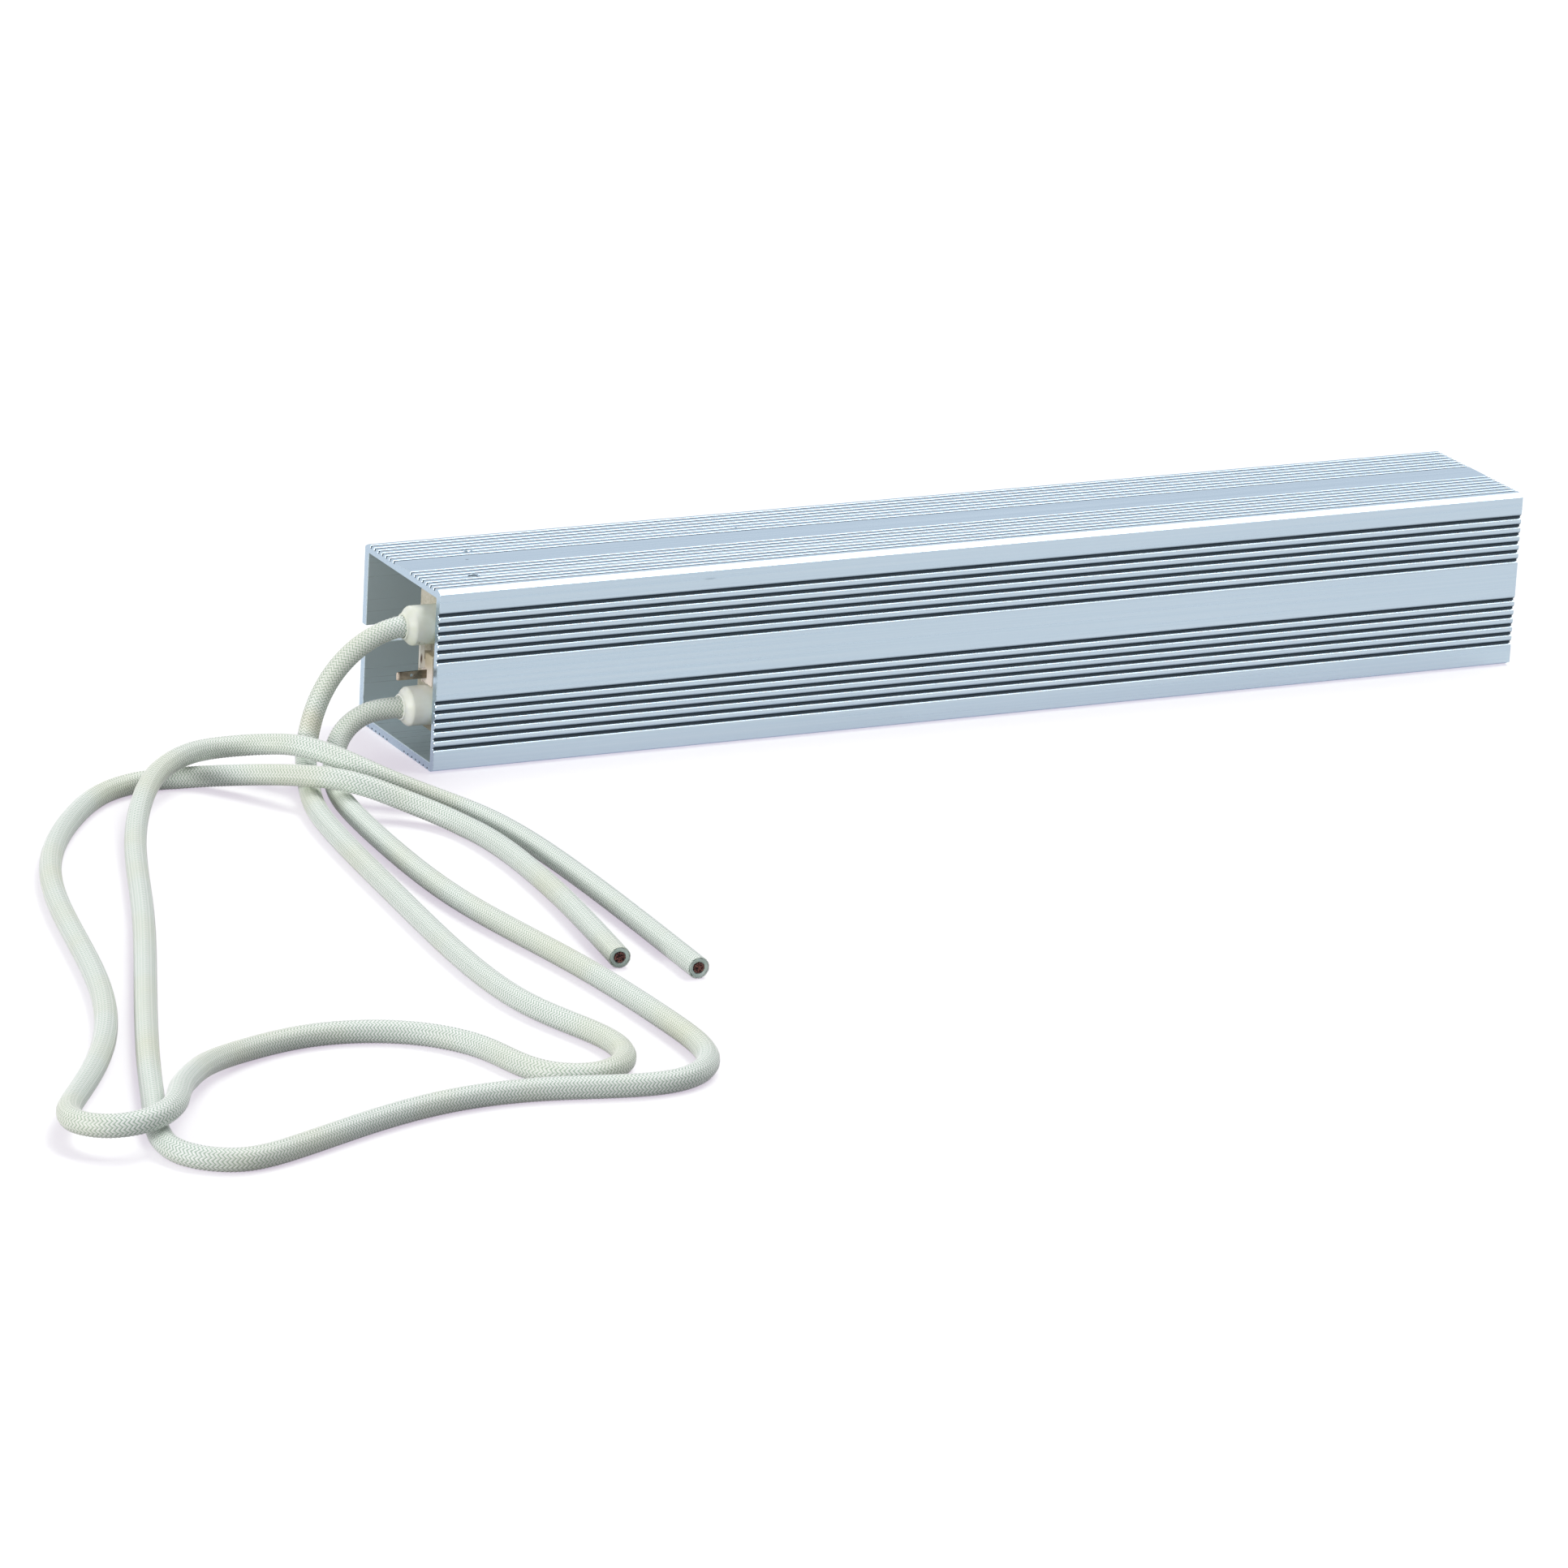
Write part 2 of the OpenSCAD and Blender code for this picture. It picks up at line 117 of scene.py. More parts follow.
def feed(tree: bpy.types.NodeTree, node: bpy.types.Node, inputs: dict) -> None:
    """Set or link the inputs of a node.

    Args:
        tree: the material's or world's node tree.
        node: the node to feed.
        inputs: value, socket or node for each input, by name or number. A node gives its first live output.
    """
    for key, value in inputs.items():
        if isinstance(value, bpy.types.Node):
            value = next(output for output in value.outputs if output.enabled)
        if isinstance(value, bpy.types.NodeSocket):
            tree.links.new(value, node.inputs[key])
        else:
            node.inputs[key].default_value = value


def add_node(tree: bpy.types.NodeTree, kind: str, inputs: dict | None = None, **settings) -> bpy.types.Node:
    """Add a shader node with its settings, and set or link its inputs.

    Args:
        tree: the material's or world's node tree.
        kind: Blender's name of the node type, without its first word.
        inputs: value, socket or node for each input, by name or number.
        settings: the node's own properties.

    Returns:
        The new node.
    """
    node = tree.nodes.new(f"ShaderNode{kind}")
    for name, value in settings.items():
        setattr(node, name, value)
    feed(tree, node, inputs or {})
    return node


@dataclass(frozen=True)
class Mark:
    """A scuff, speck, stain or patch of painted shade: an ellipsoid in which a colour shows, faded at its
    rim.

    Attributes:
        place: its middle in millimetres.
        half: its half-sizes along X, Y and Z in millimetres.
        colour: sRGB hex value.
        share: how much of the colour shows in its middle.
        core: share of its half-sizes from which it fades.
    """

    place: Point
    half: Point
    colour: str
    share: float
    core: float = 0.3


@dataclass(frozen=True)
class Finish:
    """A surface that starts from one colour and one roughness.

    Attributes:
        name: the material's common name and how its surface was made.
        slot: name of its material slot; not used in this script.
        colour: sRGB hex value.
        second: sRGB hex value of its lines, grains or hollows.
        roughness: microfacet roughness.
        metallic: share of bare metal.
        marks: scuffs, specks, stains and patches of painted shade on it.
    """

    name: str
    slot: str
    colour: str
    second: str
    roughness: float
    metallic: float = 0.0
    marks: tuple[Mark, ...] = ()

    def material(self) -> bpy.types.Material:
        """Make the material, or find it if it is made already.

        Returns:
            The node material.
        """
        found = bpy.data.materials.get(self.name)
        if found is not None:
            return found
        made = bpy.data.materials.new(self.name)
        made.use_nodes = True
        tree = made.node_tree
        shader = tree.nodes["Principled BSDF"]
        feed(tree, shader, {"Roughness": self.roughness, "Metallic": self.metallic})
        shown = self.dress(tree, shader)
        feed(tree, shader, {"Base Color": self.marked(tree, shown)})
        return made

    def marked(self, tree: bpy.types.NodeTree, shown: bpy.types.Node) -> bpy.types.Node:
        """Lay the marks over a colour.

        Args:
            tree: the material's node tree.
            shown: node of the colour under the marks.

        Returns:
            Node of the colour with the marks.
        """
        for mark in self.marks:
            place = add_node(tree, "TexCoord").outputs["Object"]
            middle = tuple(MM * along for along in mark.place)
            away = add_node(tree, "VectorMath", {0: place, 1: middle}, operation="SUBTRACT")
            stretch = tuple(1 / (MM * half) for half in mark.half)
            scaled = add_node(tree, "VectorMath", {0: away, 1: stretch}, operation="MULTIPLY")
            far = add_node(tree, "VectorMath", {0: scaled}, operation="LENGTH")
            share = add_node(tree, "MapRange", {
                "Value": far, "From Min": mark.core, "From Max": 1.0, "To Min": mark.share, "To Max": 0.0},
                interpolation_type="SMOOTHSTEP")
            shown = add_node(tree, "Mix", {
                SHARE: share, UNDER: shown, OVER: linear(mark.colour)}, data_type="RGBA")
        return shown

    def dress(self, tree: bpy.types.NodeTree, shader: bpy.types.Node) -> bpy.types.Node:
        """Add the pattern's nodes: each kind of finish has its own.

        Args:
            tree: the material's node tree.
            shader: the surface's shader, whose other inputs are set here.

        Returns:
            Node of the colour.
        """
        raise NotImplementedError


@dataclass(frozen=True)
class AnodisedAluminium(Finish):
    """Extruded and satin anodised: fine lines along the length, and painted shade in the grooves and under
    the front ribs.

    Attributes:
        line: width of a die line in metres.
        run: length over which a die line fades, in metres.
        bright: how much white shows in the brightest lines.
        glint: sRGB hex value of its gloss.
        groove_shade_share: how much of the second colour shows where a groove's painted shade is deepest.
        full: share of painted shade from which a groove is at its darkest.
        inner: sRGB hex value of the inner faces, lighter than the outer ones as painted light inside the
            channel.
        inner_metallic: share of bare metal on the inner faces, lowered so that their lighter colour shows:
            painted light.
    """

    line: float = 0.8 * MM
    run: float = 220 * MM
    bright: float = 0.10
    glint: str = "#d6e0ee"
    groove_shade_share: float = 0.95
    full: float = 0.75
    inner: str = "#d4e2e5"
    inner_metallic: float = 0.2

    def dress(self, tree: bpy.types.NodeTree, shader: bpy.types.Node) -> bpy.types.Node:
        """Streak the colour and roughness along X, paint light on the inner faces and shade into the grooves.

        Args:
            tree: the material's node tree.
            shader: the surface's shader.

        Returns:
            Node of the colour.
        """
        place = add_node(tree, "TexCoord").outputs["Object"]
        drawn = add_node(tree, "Mapping", {
            "Vector": place, "Scale": (1 / self.run, 1 / self.line, 1 / self.line)})
        lines = add_node(tree, "TexNoise", {"Vector": drawn, "Scale": 1.0, "Detail": 2.0, "Roughness": 0.5})
        tint = add_node(tree, "MapRange", {
            "Value": lines, "From Min": 0.3, "From Max": 0.7, "To Min": 0.0, "To Max": self.bright})
        streaked = add_node(tree, "Mix", {
            SHARE: tint, UNDER: linear(self.colour), OVER: linear("#ffffff")}, data_type="RGBA")
        zone = add_node(tree, "Attribute", attribute_name=Channel.ZONE).outputs["Fac"]
        # Painted light: the inner faces take a lighter colour and less bare metal than the outer ones
        inside = add_node(tree, "MapRange", {"Value": zone, "From Min": 0.0, "From Max": -1.0})
        dull = add_node(tree, "Mix", {
            SHARE: inside, UNDER: streaked, OVER: linear(self.inner)}, data_type="RGBA")
        bare = add_node(tree, "MapRange", {
            "Value": inside, "To Min": self.metallic, "To Max": self.inner_metallic})
        # Painted shade: darker with a groove's depth and under each front rib
        painted_shade = add_node(tree, "MapRange", {
            "Value": zone, "From Min": 0.0, "From Max": self.full,
            "To Min": 0.0, "To Max": self.groove_shade_share}, interpolation_type="SMOOTHSTEP")
        gloss = add_node(tree, "MapRange", {
            "Value": lines, "From Min": 0.3, "From Max": 0.7,
            "To Min": self.roughness - 0.04, "To Max": self.roughness + 0.05})
        relief = add_node(tree, "Bump", {"Height": lines, "Strength": 0.08, "Distance": 0.03 * MM})
        feed(tree, shader, {
            "Metallic": bare, "Specular Tint": linear(self.glint), "Roughness": gloss, "Normal": relief})
        return add_node(tree, "Mix", {
            SHARE: painted_shade, UNDER: dull, OVER: linear(self.second)}, data_type="RGBA")


@dataclass(frozen=True)
class GlassBraid(Finish):
    """Glass fibre braided in chevrons: silky threads with painted shade in the gaps and faint cream patches.

    The chart's first coordinate counts the braid's columns and its second counts its threads.

    Attributes:
        patch_colour: sRGB hex value of the cream patches.
        patch_share: how much of it shows at most.
        patch: size of a cream patch in metres.
        fibre: how many fibre bundles lie side by side in a thread.
        relief: height of a thread in metres.
        gap_height: share of a thread's height up to which the gap's painted shade reaches.
        side_fall: share of a thread's height that it loses at its column's sides.
    """

    patch_colour: str = "#d8d6ac"
    patch_share: float = 0.34
    patch: float = 45 * MM
    fibre: float = 4.0
    relief: float = 0.16 * MM
    gap_height: float = 0.42
    side_fall: float = 0.6

    def dress(self, tree: bpy.types.NodeTree, shader: bpy.types.Node) -> bpy.types.Node:
        """Keep each thread's colour along its crest, and paint shade towards its neighbours and its column's
        sides.

        A thread's height is a raised cosine across the thread, times a parabola across its column.

        Args:
            tree: the material's node tree.
            shader: the surface's shader.

        Returns:
            Node of the colour.
        """
        chart = add_node(tree, "UVMap", uv_map=Lead.CHART)
        around, along, _ = add_node(tree, "SeparateXYZ", {0: chart}).outputs
        part = add_node(tree, "Math", {0: around}, operation="FRACT")
        offset = add_node(tree, "Math", {0: part, 1: 2.0, 2: -1.0}, operation="MULTIPLY_ADD")
        square = add_node(tree, "Math", {0: offset, 1: offset}, operation="MULTIPLY")
        hump = add_node(tree, "Math", {0: square, 1: -self.side_fall, 2: 1.0}, operation="MULTIPLY_ADD")
        turn = add_node(tree, "Math", {0: along, 1: math.tau}, operation="MULTIPLY")
        wave = add_node(tree, "Math", {0: turn}, operation="COSINE")
        crown = add_node(tree, "Math", {0: wave, 1: 0.5, 2: 0.5}, operation="MULTIPLY_ADD")
        height = add_node(tree, "Math", {0: crown, 1: hump}, operation="MULTIPLY")
        # Painted shade: the gaps between threads take the shade colour
        light = add_node(tree, "MapRange", {"Value": height, "From Min": 0.0, "From Max": self.gap_height})
        woven = add_node(tree, "Mix", {
            SHARE: light, UNDER: linear(self.second), OVER: linear(self.colour)}, data_type="RGBA")
        spun = add_node(tree, "Mapping", {"Vector": chart, "Scale": (1.0, self.fibre, 1.0)})
        fibres = add_node(tree, "TexNoise", {"Vector": spun, "Scale": 2.0, "Detail": 2.0})
        dull = add_node(tree, "MapRange", {
            "Value": fibres, "From Min": 0.35, "From Max": 0.7, "To Min": 0.0, "To Max": 0.25})
        spun_shade = add_node(tree, "Mix", {
            SHARE: dull, UNDER: woven, OVER: linear(self.second)}, data_type="RGBA")
        place = add_node(tree, "TexCoord").outputs["Object"]
        patches = add_node(tree, "TexNoise", {"Vector": place, "Scale": 1 / self.patch, "Detail": 3.0})
        cream = add_node(tree, "MapRange", {
            "Value": patches, "From Min": 0.46, "From Max": 0.70, "To Min": 0.0, "To Max": self.patch_share})
        relief = add_node(tree, "Bump", {"Height": height, "Strength": 0.5, "Distance": self.relief})
        feed(tree, shader, {"IOR": 1.5, "Sheen Weight": 0.10, "Sheen Roughness": 0.4, "Normal": relief})
        return add_node(tree, "Mix", {
            SHARE: cream, UNDER: spun_shade, OVER: linear(self.patch_colour)}, data_type="RGBA")


@dataclass(frozen=True)
class MouldedSilicone(Finish):
    """Moulded silicone: translucent, soft in gloss, a little yellow where it is thick.

    Attributes:
        cloud: size of a cloud in its colour in metres.
        grit: size of the mould's grain in metres.
        depth: how far light goes into it, in metres.
    """

    cloud: float = 5 * MM
    grit: float = 0.7 * MM
    depth: float = 1.5 * MM

    def dress(self, tree: bpy.types.NodeTree, shader: bpy.types.Node) -> bpy.types.Node:
        """Cloud the colour, let light in and grain the surface.

        Args:
            tree: the material's node tree.
            shader: the surface's shader.

        Returns:
            Node of the colour.
        """
        place = add_node(tree, "TexCoord").outputs["Object"]
        clouds = add_node(tree, "TexNoise", {"Vector": place, "Scale": 1 / self.cloud, "Detail": 3.0})
        share = add_node(tree, "MapRange", {"Value": clouds, "From Min": 0.35, "From Max": 0.7})
        grain = add_node(tree, "TexNoise", {"Vector": place, "Scale": 1 / self.grit, "Detail": 2.0})
        relief = add_node(tree, "Bump", {"Height": grain, "Strength": 0.12, "Distance": 0.06 * MM})
        feed(tree, shader, {
            "IOR": 1.41, "Subsurface Weight": 0.25, "Subsurface Radius": (1.0, 0.95, 0.7),
            "Subsurface Scale": self.depth, "Normal": relief})
        return add_node(tree, "Mix", {
            SHARE: share, UNDER: linear(self.colour), OVER: linear(self.second)}, data_type="RGBA")


@dataclass(frozen=True)
class CastMineral(Finish):
    """Cast cement, pressed ceramic or split mica: matt, with grains of a second colour.

    Attributes:
        grain: size of a grain in metres.
        cloud: size of a cloud in its colour in metres.
        pits: depth of its pits in metres.
    """

    grain: float = 0.8 * MM
    cloud: float = 14 * MM
    pits: float = 0.15 * MM

    def dress(self, tree: bpy.types.NodeTree, shader: bpy.types.Node) -> bpy.types.Node:
        """Mix grains and broad clouds into the colour, and pit the surface.

        Args:
            tree: the material's node tree.
            shader: the surface's shader.

        Returns:
            Node of the colour.
        """
        place = add_node(tree, "TexCoord").outputs["Object"]
        grains = add_node(tree, "TexNoise", {"Vector": place, "Scale": 1 / self.grain, "Detail": 4.0})
        clouds = add_node(tree, "TexNoise", {"Vector": place, "Scale": 1 / self.cloud, "Detail": 2.0})
        both = add_node(tree, "Math", {0: grains, 1: clouds}, operation="ADD")
        share = add_node(tree, "MapRange", {"Value": both, "From Min": 0.75, "From Max": 1.3})
        relief = add_node(tree, "Bump", {"Height": grains, "Strength": 0.4, "Distance": self.pits})
        feed(tree, shader, {"Normal": relief})
        return add_node(tree, "Mix", {
            SHARE: share, UNDER: linear(self.colour), OVER: linear(self.second)}, data_type="RGBA")


@dataclass(frozen=True)
class DrawnMetal(Finish):
    """Rolled strip or drawn wire: streaks along X, and tarnish of a second colour in patches.

    Attributes:
        streak: width of a streak in metres.
        stretch: how many times longer than wide a streak is.
        patch: size of a patch of tarnish in metres.
    """

    metallic: float = 1.0
    streak: float = 0.25 * MM
    stretch: float = 40.0
    patch: float = 3 * MM

    def dress(self, tree: bpy.types.NodeTree, shader: bpy.types.Node) -> bpy.types.Node:
        """Tarnish the colour in patches and streak the roughness.

        Args:
            tree: the material's node tree.
            shader: the surface's shader.

        Returns:
            Node of the colour.
        """
        place = add_node(tree, "TexCoord").outputs["Object"]
        rolled = add_node(tree, "Mapping", {
            "Vector": place, "Scale": (1 / (self.stretch * self.streak), 1 / self.streak, 1 / self.streak)})
        streaks = add_node(tree, "TexNoise", {"Vector": rolled, "Scale": 1.0, "Detail": 3.0})
        patches = add_node(tree, "TexNoise", {"Vector": place, "Scale": 1 / self.patch, "Detail": 3.0})
        share = add_node(tree, "MapRange", {"Value": patches, "From Min": 0.38, "From Max": 0.68})
        gloss = add_node(tree, "MapRange", {
            "Value": streaks, "From Min": 0.3, "From Max": 0.7,
            "To Min": self.roughness - 0.06, "To Max": self.roughness + 0.1})
        relief = add_node(tree, "Bump", {"Height": streaks, "Strength": 0.3, "Distance": 0.03 * MM})
        feed(tree, shader, {"Roughness": gloss, "Normal": relief})
        return add_node(tree, "Mix", {
            SHARE: share, UNDER: linear(self.colour), OVER: linear(self.second)}, data_type="RGBA")


# A soft grey-blue sheen in long fine lines, with painted shade in the grooves and under the front ribs,
# painted light on the inner faces, and a few traces of handling: two specks on the top face, a scuff on the
# front's upper band and a nick at the rear wall's end
ALUMINIUM = AnodisedAluminium(
    "satin anodised aluminium, extruded", "anodised_aluminium", "#b8c9d6", "#1c2831", 0.3, 0.85,
    marks=(
        Mark((-179, 1.5, 61), (0.9, 0.5, 1), "#3d4854", 0.75),
        Mark((-77.5, 10.5, 61), (0.7, 0.5, 1), "#46525e", 0.7),
        Mark((-106.5, -29.5, 57.2), (3, 1, 0.4), "#5f6d78", 0.3),
        Mark((-202.5, 26.2, 9), (0.7, 0.6, 1.6), "#3a4450", 0.7),
    ))
# Silky white threads in chevrons, with painted grey-green shade between them, and a tan stain where the upper
# lead drops
BRAID = GlassBraid(
    "glass-fibre braid, woven", "glass_braid", "#fbfdf9", "#a0b8a5", 0.38,
    marks=(Mark((-241.5, -20, 17), (6, 6, 9), "#cdb98c", 0.4),))
# Single broken threads: white and silky
THREAD = MouldedSilicone("glass fibre, loose", "glass_braid", "#f6f7f1", "#e6e9de", 0.5)
# Milky and soft in gloss, a little cream in clouds, with a dark and a tan speck on its drum
UPPER_COLLAR = MouldedSilicone(
    "silicone rubber, moulded and specked", "silicone", "#ebeee4", "#e0e4d2", 0.42,
    marks=(
        Mark((-206.9, -24.4, 42.9), (0.3, 0.9, 0.6), "#4c463a", 0.85),
        Mark((-205, -24.2, 42.7), (0.3, 0.6, 0.3), "#a08a5c", 0.6),
    ))
# The same without specks, and a paler copy as painted light, which makes up for the upper collar's shade on
# it
LOWER_COLLAR = replace(
    UPPER_COLLAR, name="silicone rubber, moulded and pale", colour="#f8faf2", second="#f0f2e5", marks=())
# Pale grey-green where the knife went through
INSULATION = MouldedSilicone("silicone insulation, cut", "silicone", "#dcebe2", "#b9cdc2", 0.5)
# Oxidised almost black, with a red-brown glint here and there
STRANDS = DrawnMetal("copper strand, cut", "copper_strand", "#6e4a44", "#221c1f", 0.4, patch=0.9 * MM)
# Matt beige to pink, with fine grains
CEMENT = CastMineral("filler cement, cast", "cement", "#d1cbbd", "#aaa58c", 0.85)
# Matt brown-grey flakes
MICA = CastMineral("mica card, split", "mica", "#c4b899", "#a59878", 0.6)
# Pale pink and matt, with a painted shade at its lead end
SWITCH_CERAMIC = CastMineral(
    "steatite ceramic, pressed", "switch_ceramic", "#eadfd5", "#dccdc0", 0.6, grain=0.5 * MM,
    marks=(Mark((-202, -21, 36.5), (5, 8, 5.5), "#b9ad90", 0.85),))
# Dark grey with a dull shine
RESISTANCE_WIRE = DrawnMetal("resistance alloy, drawn", "resistance_alloy", "#6d675f", "#4b4640", 0.4)
# Grey with a warm shine
STRAP = DrawnMetal("nickel-plated strap, rolled", "plated_strap", "#a6a398", "#8a8579", 0.35)
# Light grey with a dull shine
TINNED = DrawnMetal("tinned copper, crimped", "tinned_crimp", "#b4b4b2", "#94938f", 0.35)
# Light grey and clean
SWITCH_CAP = DrawnMetal("aluminium cap, pressed", "switch_metal", "#bfc2c5", "#a6a9ac", 0.35)
# Dark brown and shiny, paler at its tip
TAB = DrawnMetal(
    "plated brass tab, stamped", "plated_tab", "#7d7566", "#4d473d", 0.28,
    marks=(Mark((-212.8, -20.3, 31), (1.7, 2, 2.4), "#d8cabb", 0.85),))
# Painted light: near-white and barely metallic so that it looks lit, with a painted dark red-brown streak in
# place of the slit through it
PALE_TAB = DrawnMetal(
    "tinned brass tab, stamped", "plated_tab", "#fbfaf7", "#e8e2d8", 0.35, 0.15,
    marks=(Mark((-203.4, -19, 35.8), (0.5, 1, 2.3), "#4a1f14", 0.9),))

COLLARS = {"upper": UPPER_COLLAR, "lower": LOWER_COLLAR}

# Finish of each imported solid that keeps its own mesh
KEPT_NODES = {
    "cement_block": CEMENT, "winding_former": MICA, "insulating_sheet": MICA,
    "resistance_winding": RESISTANCE_WIRE, "near_terminal": STRAP, "far_terminal": STRAP,
    "return_strap": STRAP, "upper_crimp": TINNED, "lower_crimp": TINNED, "upper_core": STRANDS,
    "lower_core": STRANDS, "switch_cover": SWITCH_CERAMIC, "switch_pin": SWITCH_CERAMIC,
    "switch_cap": SWITCH_CAP, "switch_disc": RESISTANCE_WIRE,
}


def grid_quads(rows: int, columns: int, closed: bool = False) -> np.ndarray:
    """Number the quads of a grid whose points run row by row and whose columns close on themselves.

    Args:
        rows: how many rows of points.
        columns: how many points in a row.
        closed: whether the last row joins the first.

    Returns:
        Four point numbers for each quad. The column step times the row step points outwards.
    """
    row = np.arange(rows if closed else rows - 1)[:, None] * columns
    below = (row + columns) % (rows * columns)
    column = np.arange(columns)[None, :]
    after = (column + 1) % columns
    return np.stack([row + column, row + after, below + after, below + column], -1).reshape(-1, 4)


def tube_faces(rows: int, columns: int) -> list[list[int]]:
    """Number the faces of a tube of rings: its quads and one cap at each end."""
    caps = [np.arange(columns)[::-1].tolist(), ((rows - 1) * columns + np.arange(columns)).tolist()]
    return grid_quads(rows, columns).tolist() + caps


def bundle_faces(tubes: int, rows: int, columns: int) -> list[list[int]]:
    """Number the faces of a bundle of like tubes, whose points follow each other."""
    one, step = tube_faces(rows, columns), rows * columns
    return [[number + k * step for number in face] for k in range(tubes) for face in one]


def make_piece(name: str, points: np.ndarray, faces: list, finish: Finish,
               shading: Shading) -> bpy.types.Object:
    """Put a surface into the scene as a piece that rides on the part.

    Args:
        name: the piece's name.
        points: its points, one row each.
        faces: point numbers of each face.
        finish: what it is made of.
        shading: how its faces meet.

    Returns:
        The new object, at the origin.
    """
    mesh = bpy.data.meshes.new(name)
    mesh.from_pydata(points.reshape(-1, 3).tolist(), [], faces)
    mesh.shade_smooth()
    mesh.set_sharp_from_angle(angle=math.radians(shading.value))
    mesh.materials.append(finish.material())
    piece = bpy.data.objects.new(name, mesh)
    bpy.context.scene.collection.objects.link(piece)
    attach(piece, BODY)
    LOG.info("%s: %d points, %d faces", name, len(mesh.vertices), len(mesh.polygons))
    return piece


def carve(piece: bpy.types.Object, rings: np.ndarray) -> None:
    """Cut a closed tube out of a piece for good.

    Args:
        piece: the piece to cut.
        rings: the tube's points, ring by ring.
    """
    mesh = bpy.data.meshes.new("cutting_tool")
    mesh.from_pydata(rings.reshape(-1, 3).tolist(), [], tube_faces(*rings.shape[:2]))
    tool = bpy.data.objects.new("cutting_tool", mesh)
    bpy.context.scene.collection.objects.link(tool)
    cut = piece.modifiers.new("cut", "BOOLEAN")
    cut.object, cut.operation, cut.solver = tool, "DIFFERENCE", "EXACT"
    bpy.context.view_layer.update()
    seen = piece.evaluated_get(bpy.context.evaluated_depsgraph_get())
    whole = piece.data
    piece.data = bpy.data.meshes.new_from_object(seen)
    piece.modifiers.clear()
    bpy.data.objects.remove(tool)
    bpy.data.meshes.remove(whole)
    piece.data.name = piece.name


def arc(centre: tuple[float, float], radius: float, start: float, end: float, steps: int = 6) -> np.ndarray:
    """Points along a circular arc: the centre plus the radius times cosine and sine.

    Args:
        centre: of the circle.
        radius: of the circle.
        start: first angle in degrees.
        end: last angle in degrees.
        steps: how many straight steps.

    Returns:
        The points, from start to end.
    """
    angle = np.radians(np.linspace(start, end, steps + 1))
    return np.array(centre) + radius * np.stack([np.cos(angle), np.sin(angle)], -1)


def rounded(corners: list[tuple[float, float]], radii: list[float], support: float = 0.1 * MM,
            steps: int = 6) -> list[np.ndarray]:
    """Round the corners of a closed outline.

    Each corner's arc turns from one edge to the next about a centre on their bisector. One more
    point on each edge beside the arc keeps the flat between two corners flat in its shading.

    Args:
        corners: the outline's corners in order.
        radii: the radius of each.
        support: distance of the extra points from the arc.
        steps: how many straight steps an arc has.

    Returns:
        The points of each corner.
    """
    at = np.array(corners)
    back, ahead = np.roll(at, 1, 0) - at, np.roll(at, -1, 0) - at
    back /= np.linalg.norm(back, axis=1)[:, None]
    ahead /= np.linalg.norm(ahead, axis=1)[:, None]
    half = np.arccos(np.clip((back * ahead).sum(1), -1, 1)) / 2
    runs = []
    for corner, first, last, angle, radius in zip(at, back, ahead, half, radii, strict=True):
        reach = radius / math.tan(angle)
        middle = corner + (first + last) / np.linalg.norm(first + last) * radius / math.sin(angle)
        start, end = corner + reach * first - middle, corner + reach * last - middle
        turn = math.pi - 2 * angle
        share = np.linspace(0, turn, steps + 1)[:, None]
        bend = middle + (np.sin(turn - share) * start + np.sin(share) * end) / math.sin(turn)
        runs.append(np.concatenate([
            [corner + (reach + support) * first], bend, [corner + (reach + support) * last]]))
    return runs


def prism(outline: np.ndarray, start: float, end: float, bevel: float, axis: int) -> np.ndarray:
    """Carry an outline along an axis, drawn in by a bevel at both ends.

    Args:
        outline: points in the two axes after the given one, counterclockwise.
        start: where it begins.
        end: where it ends.
        bevel: size of the bevel at both ends.
        axis: 0, 1 or 2 for X, Y or Z.

    Returns:
        Four rings of points.
    """
    step = np.roll(outline, -1, 0) - np.roll(outline, 1, 0)
    inwards = np.stack([-step[:, 1], step[:, 0]], -1) / np.linalg.norm(step, axis=1)[:, None]
    drawn_in = outline + bevel * inwards
    stations = ((start, drawn_in), (start + bevel, outline), (end - bevel, outline), (end, drawn_in))
    rings = np.stack([np.insert(loop, 0, place, axis=1) for place, loop in stations])
    return np.roll(rings, axis, axis=-1)


@dataclass(frozen=True)
class Station:
    """A place on an axis.

    Attributes:
        middle: the place.
        ahead: unit vector along the axis.
        first: unit vector across it.
        second: the other unit vector across it.
    """

    middle: np.ndarray
    ahead: np.ndarray
    first: np.ndarray
    second: np.ndarray

    def turned(self, along: np.ndarray, out: np.ndarray, angle: np.ndarray) -> np.ndarray:
        """Turn a profile about the axis: each point lies some way along it, and out at an angle."""
        return self.placed(along, out * np.cos(angle), out * np.sin(angle))

    def placed(self, along: np.ndarray, first: np.ndarray, second: np.ndarray) -> np.ndarray:
        """Points by how far they lie along the axis and across it in both directions."""
        along, first, second = (way[..., None] for way in np.broadcast_arrays(along, first, second))
        return self.middle + along * self.ahead + first * self.first + second * self.second


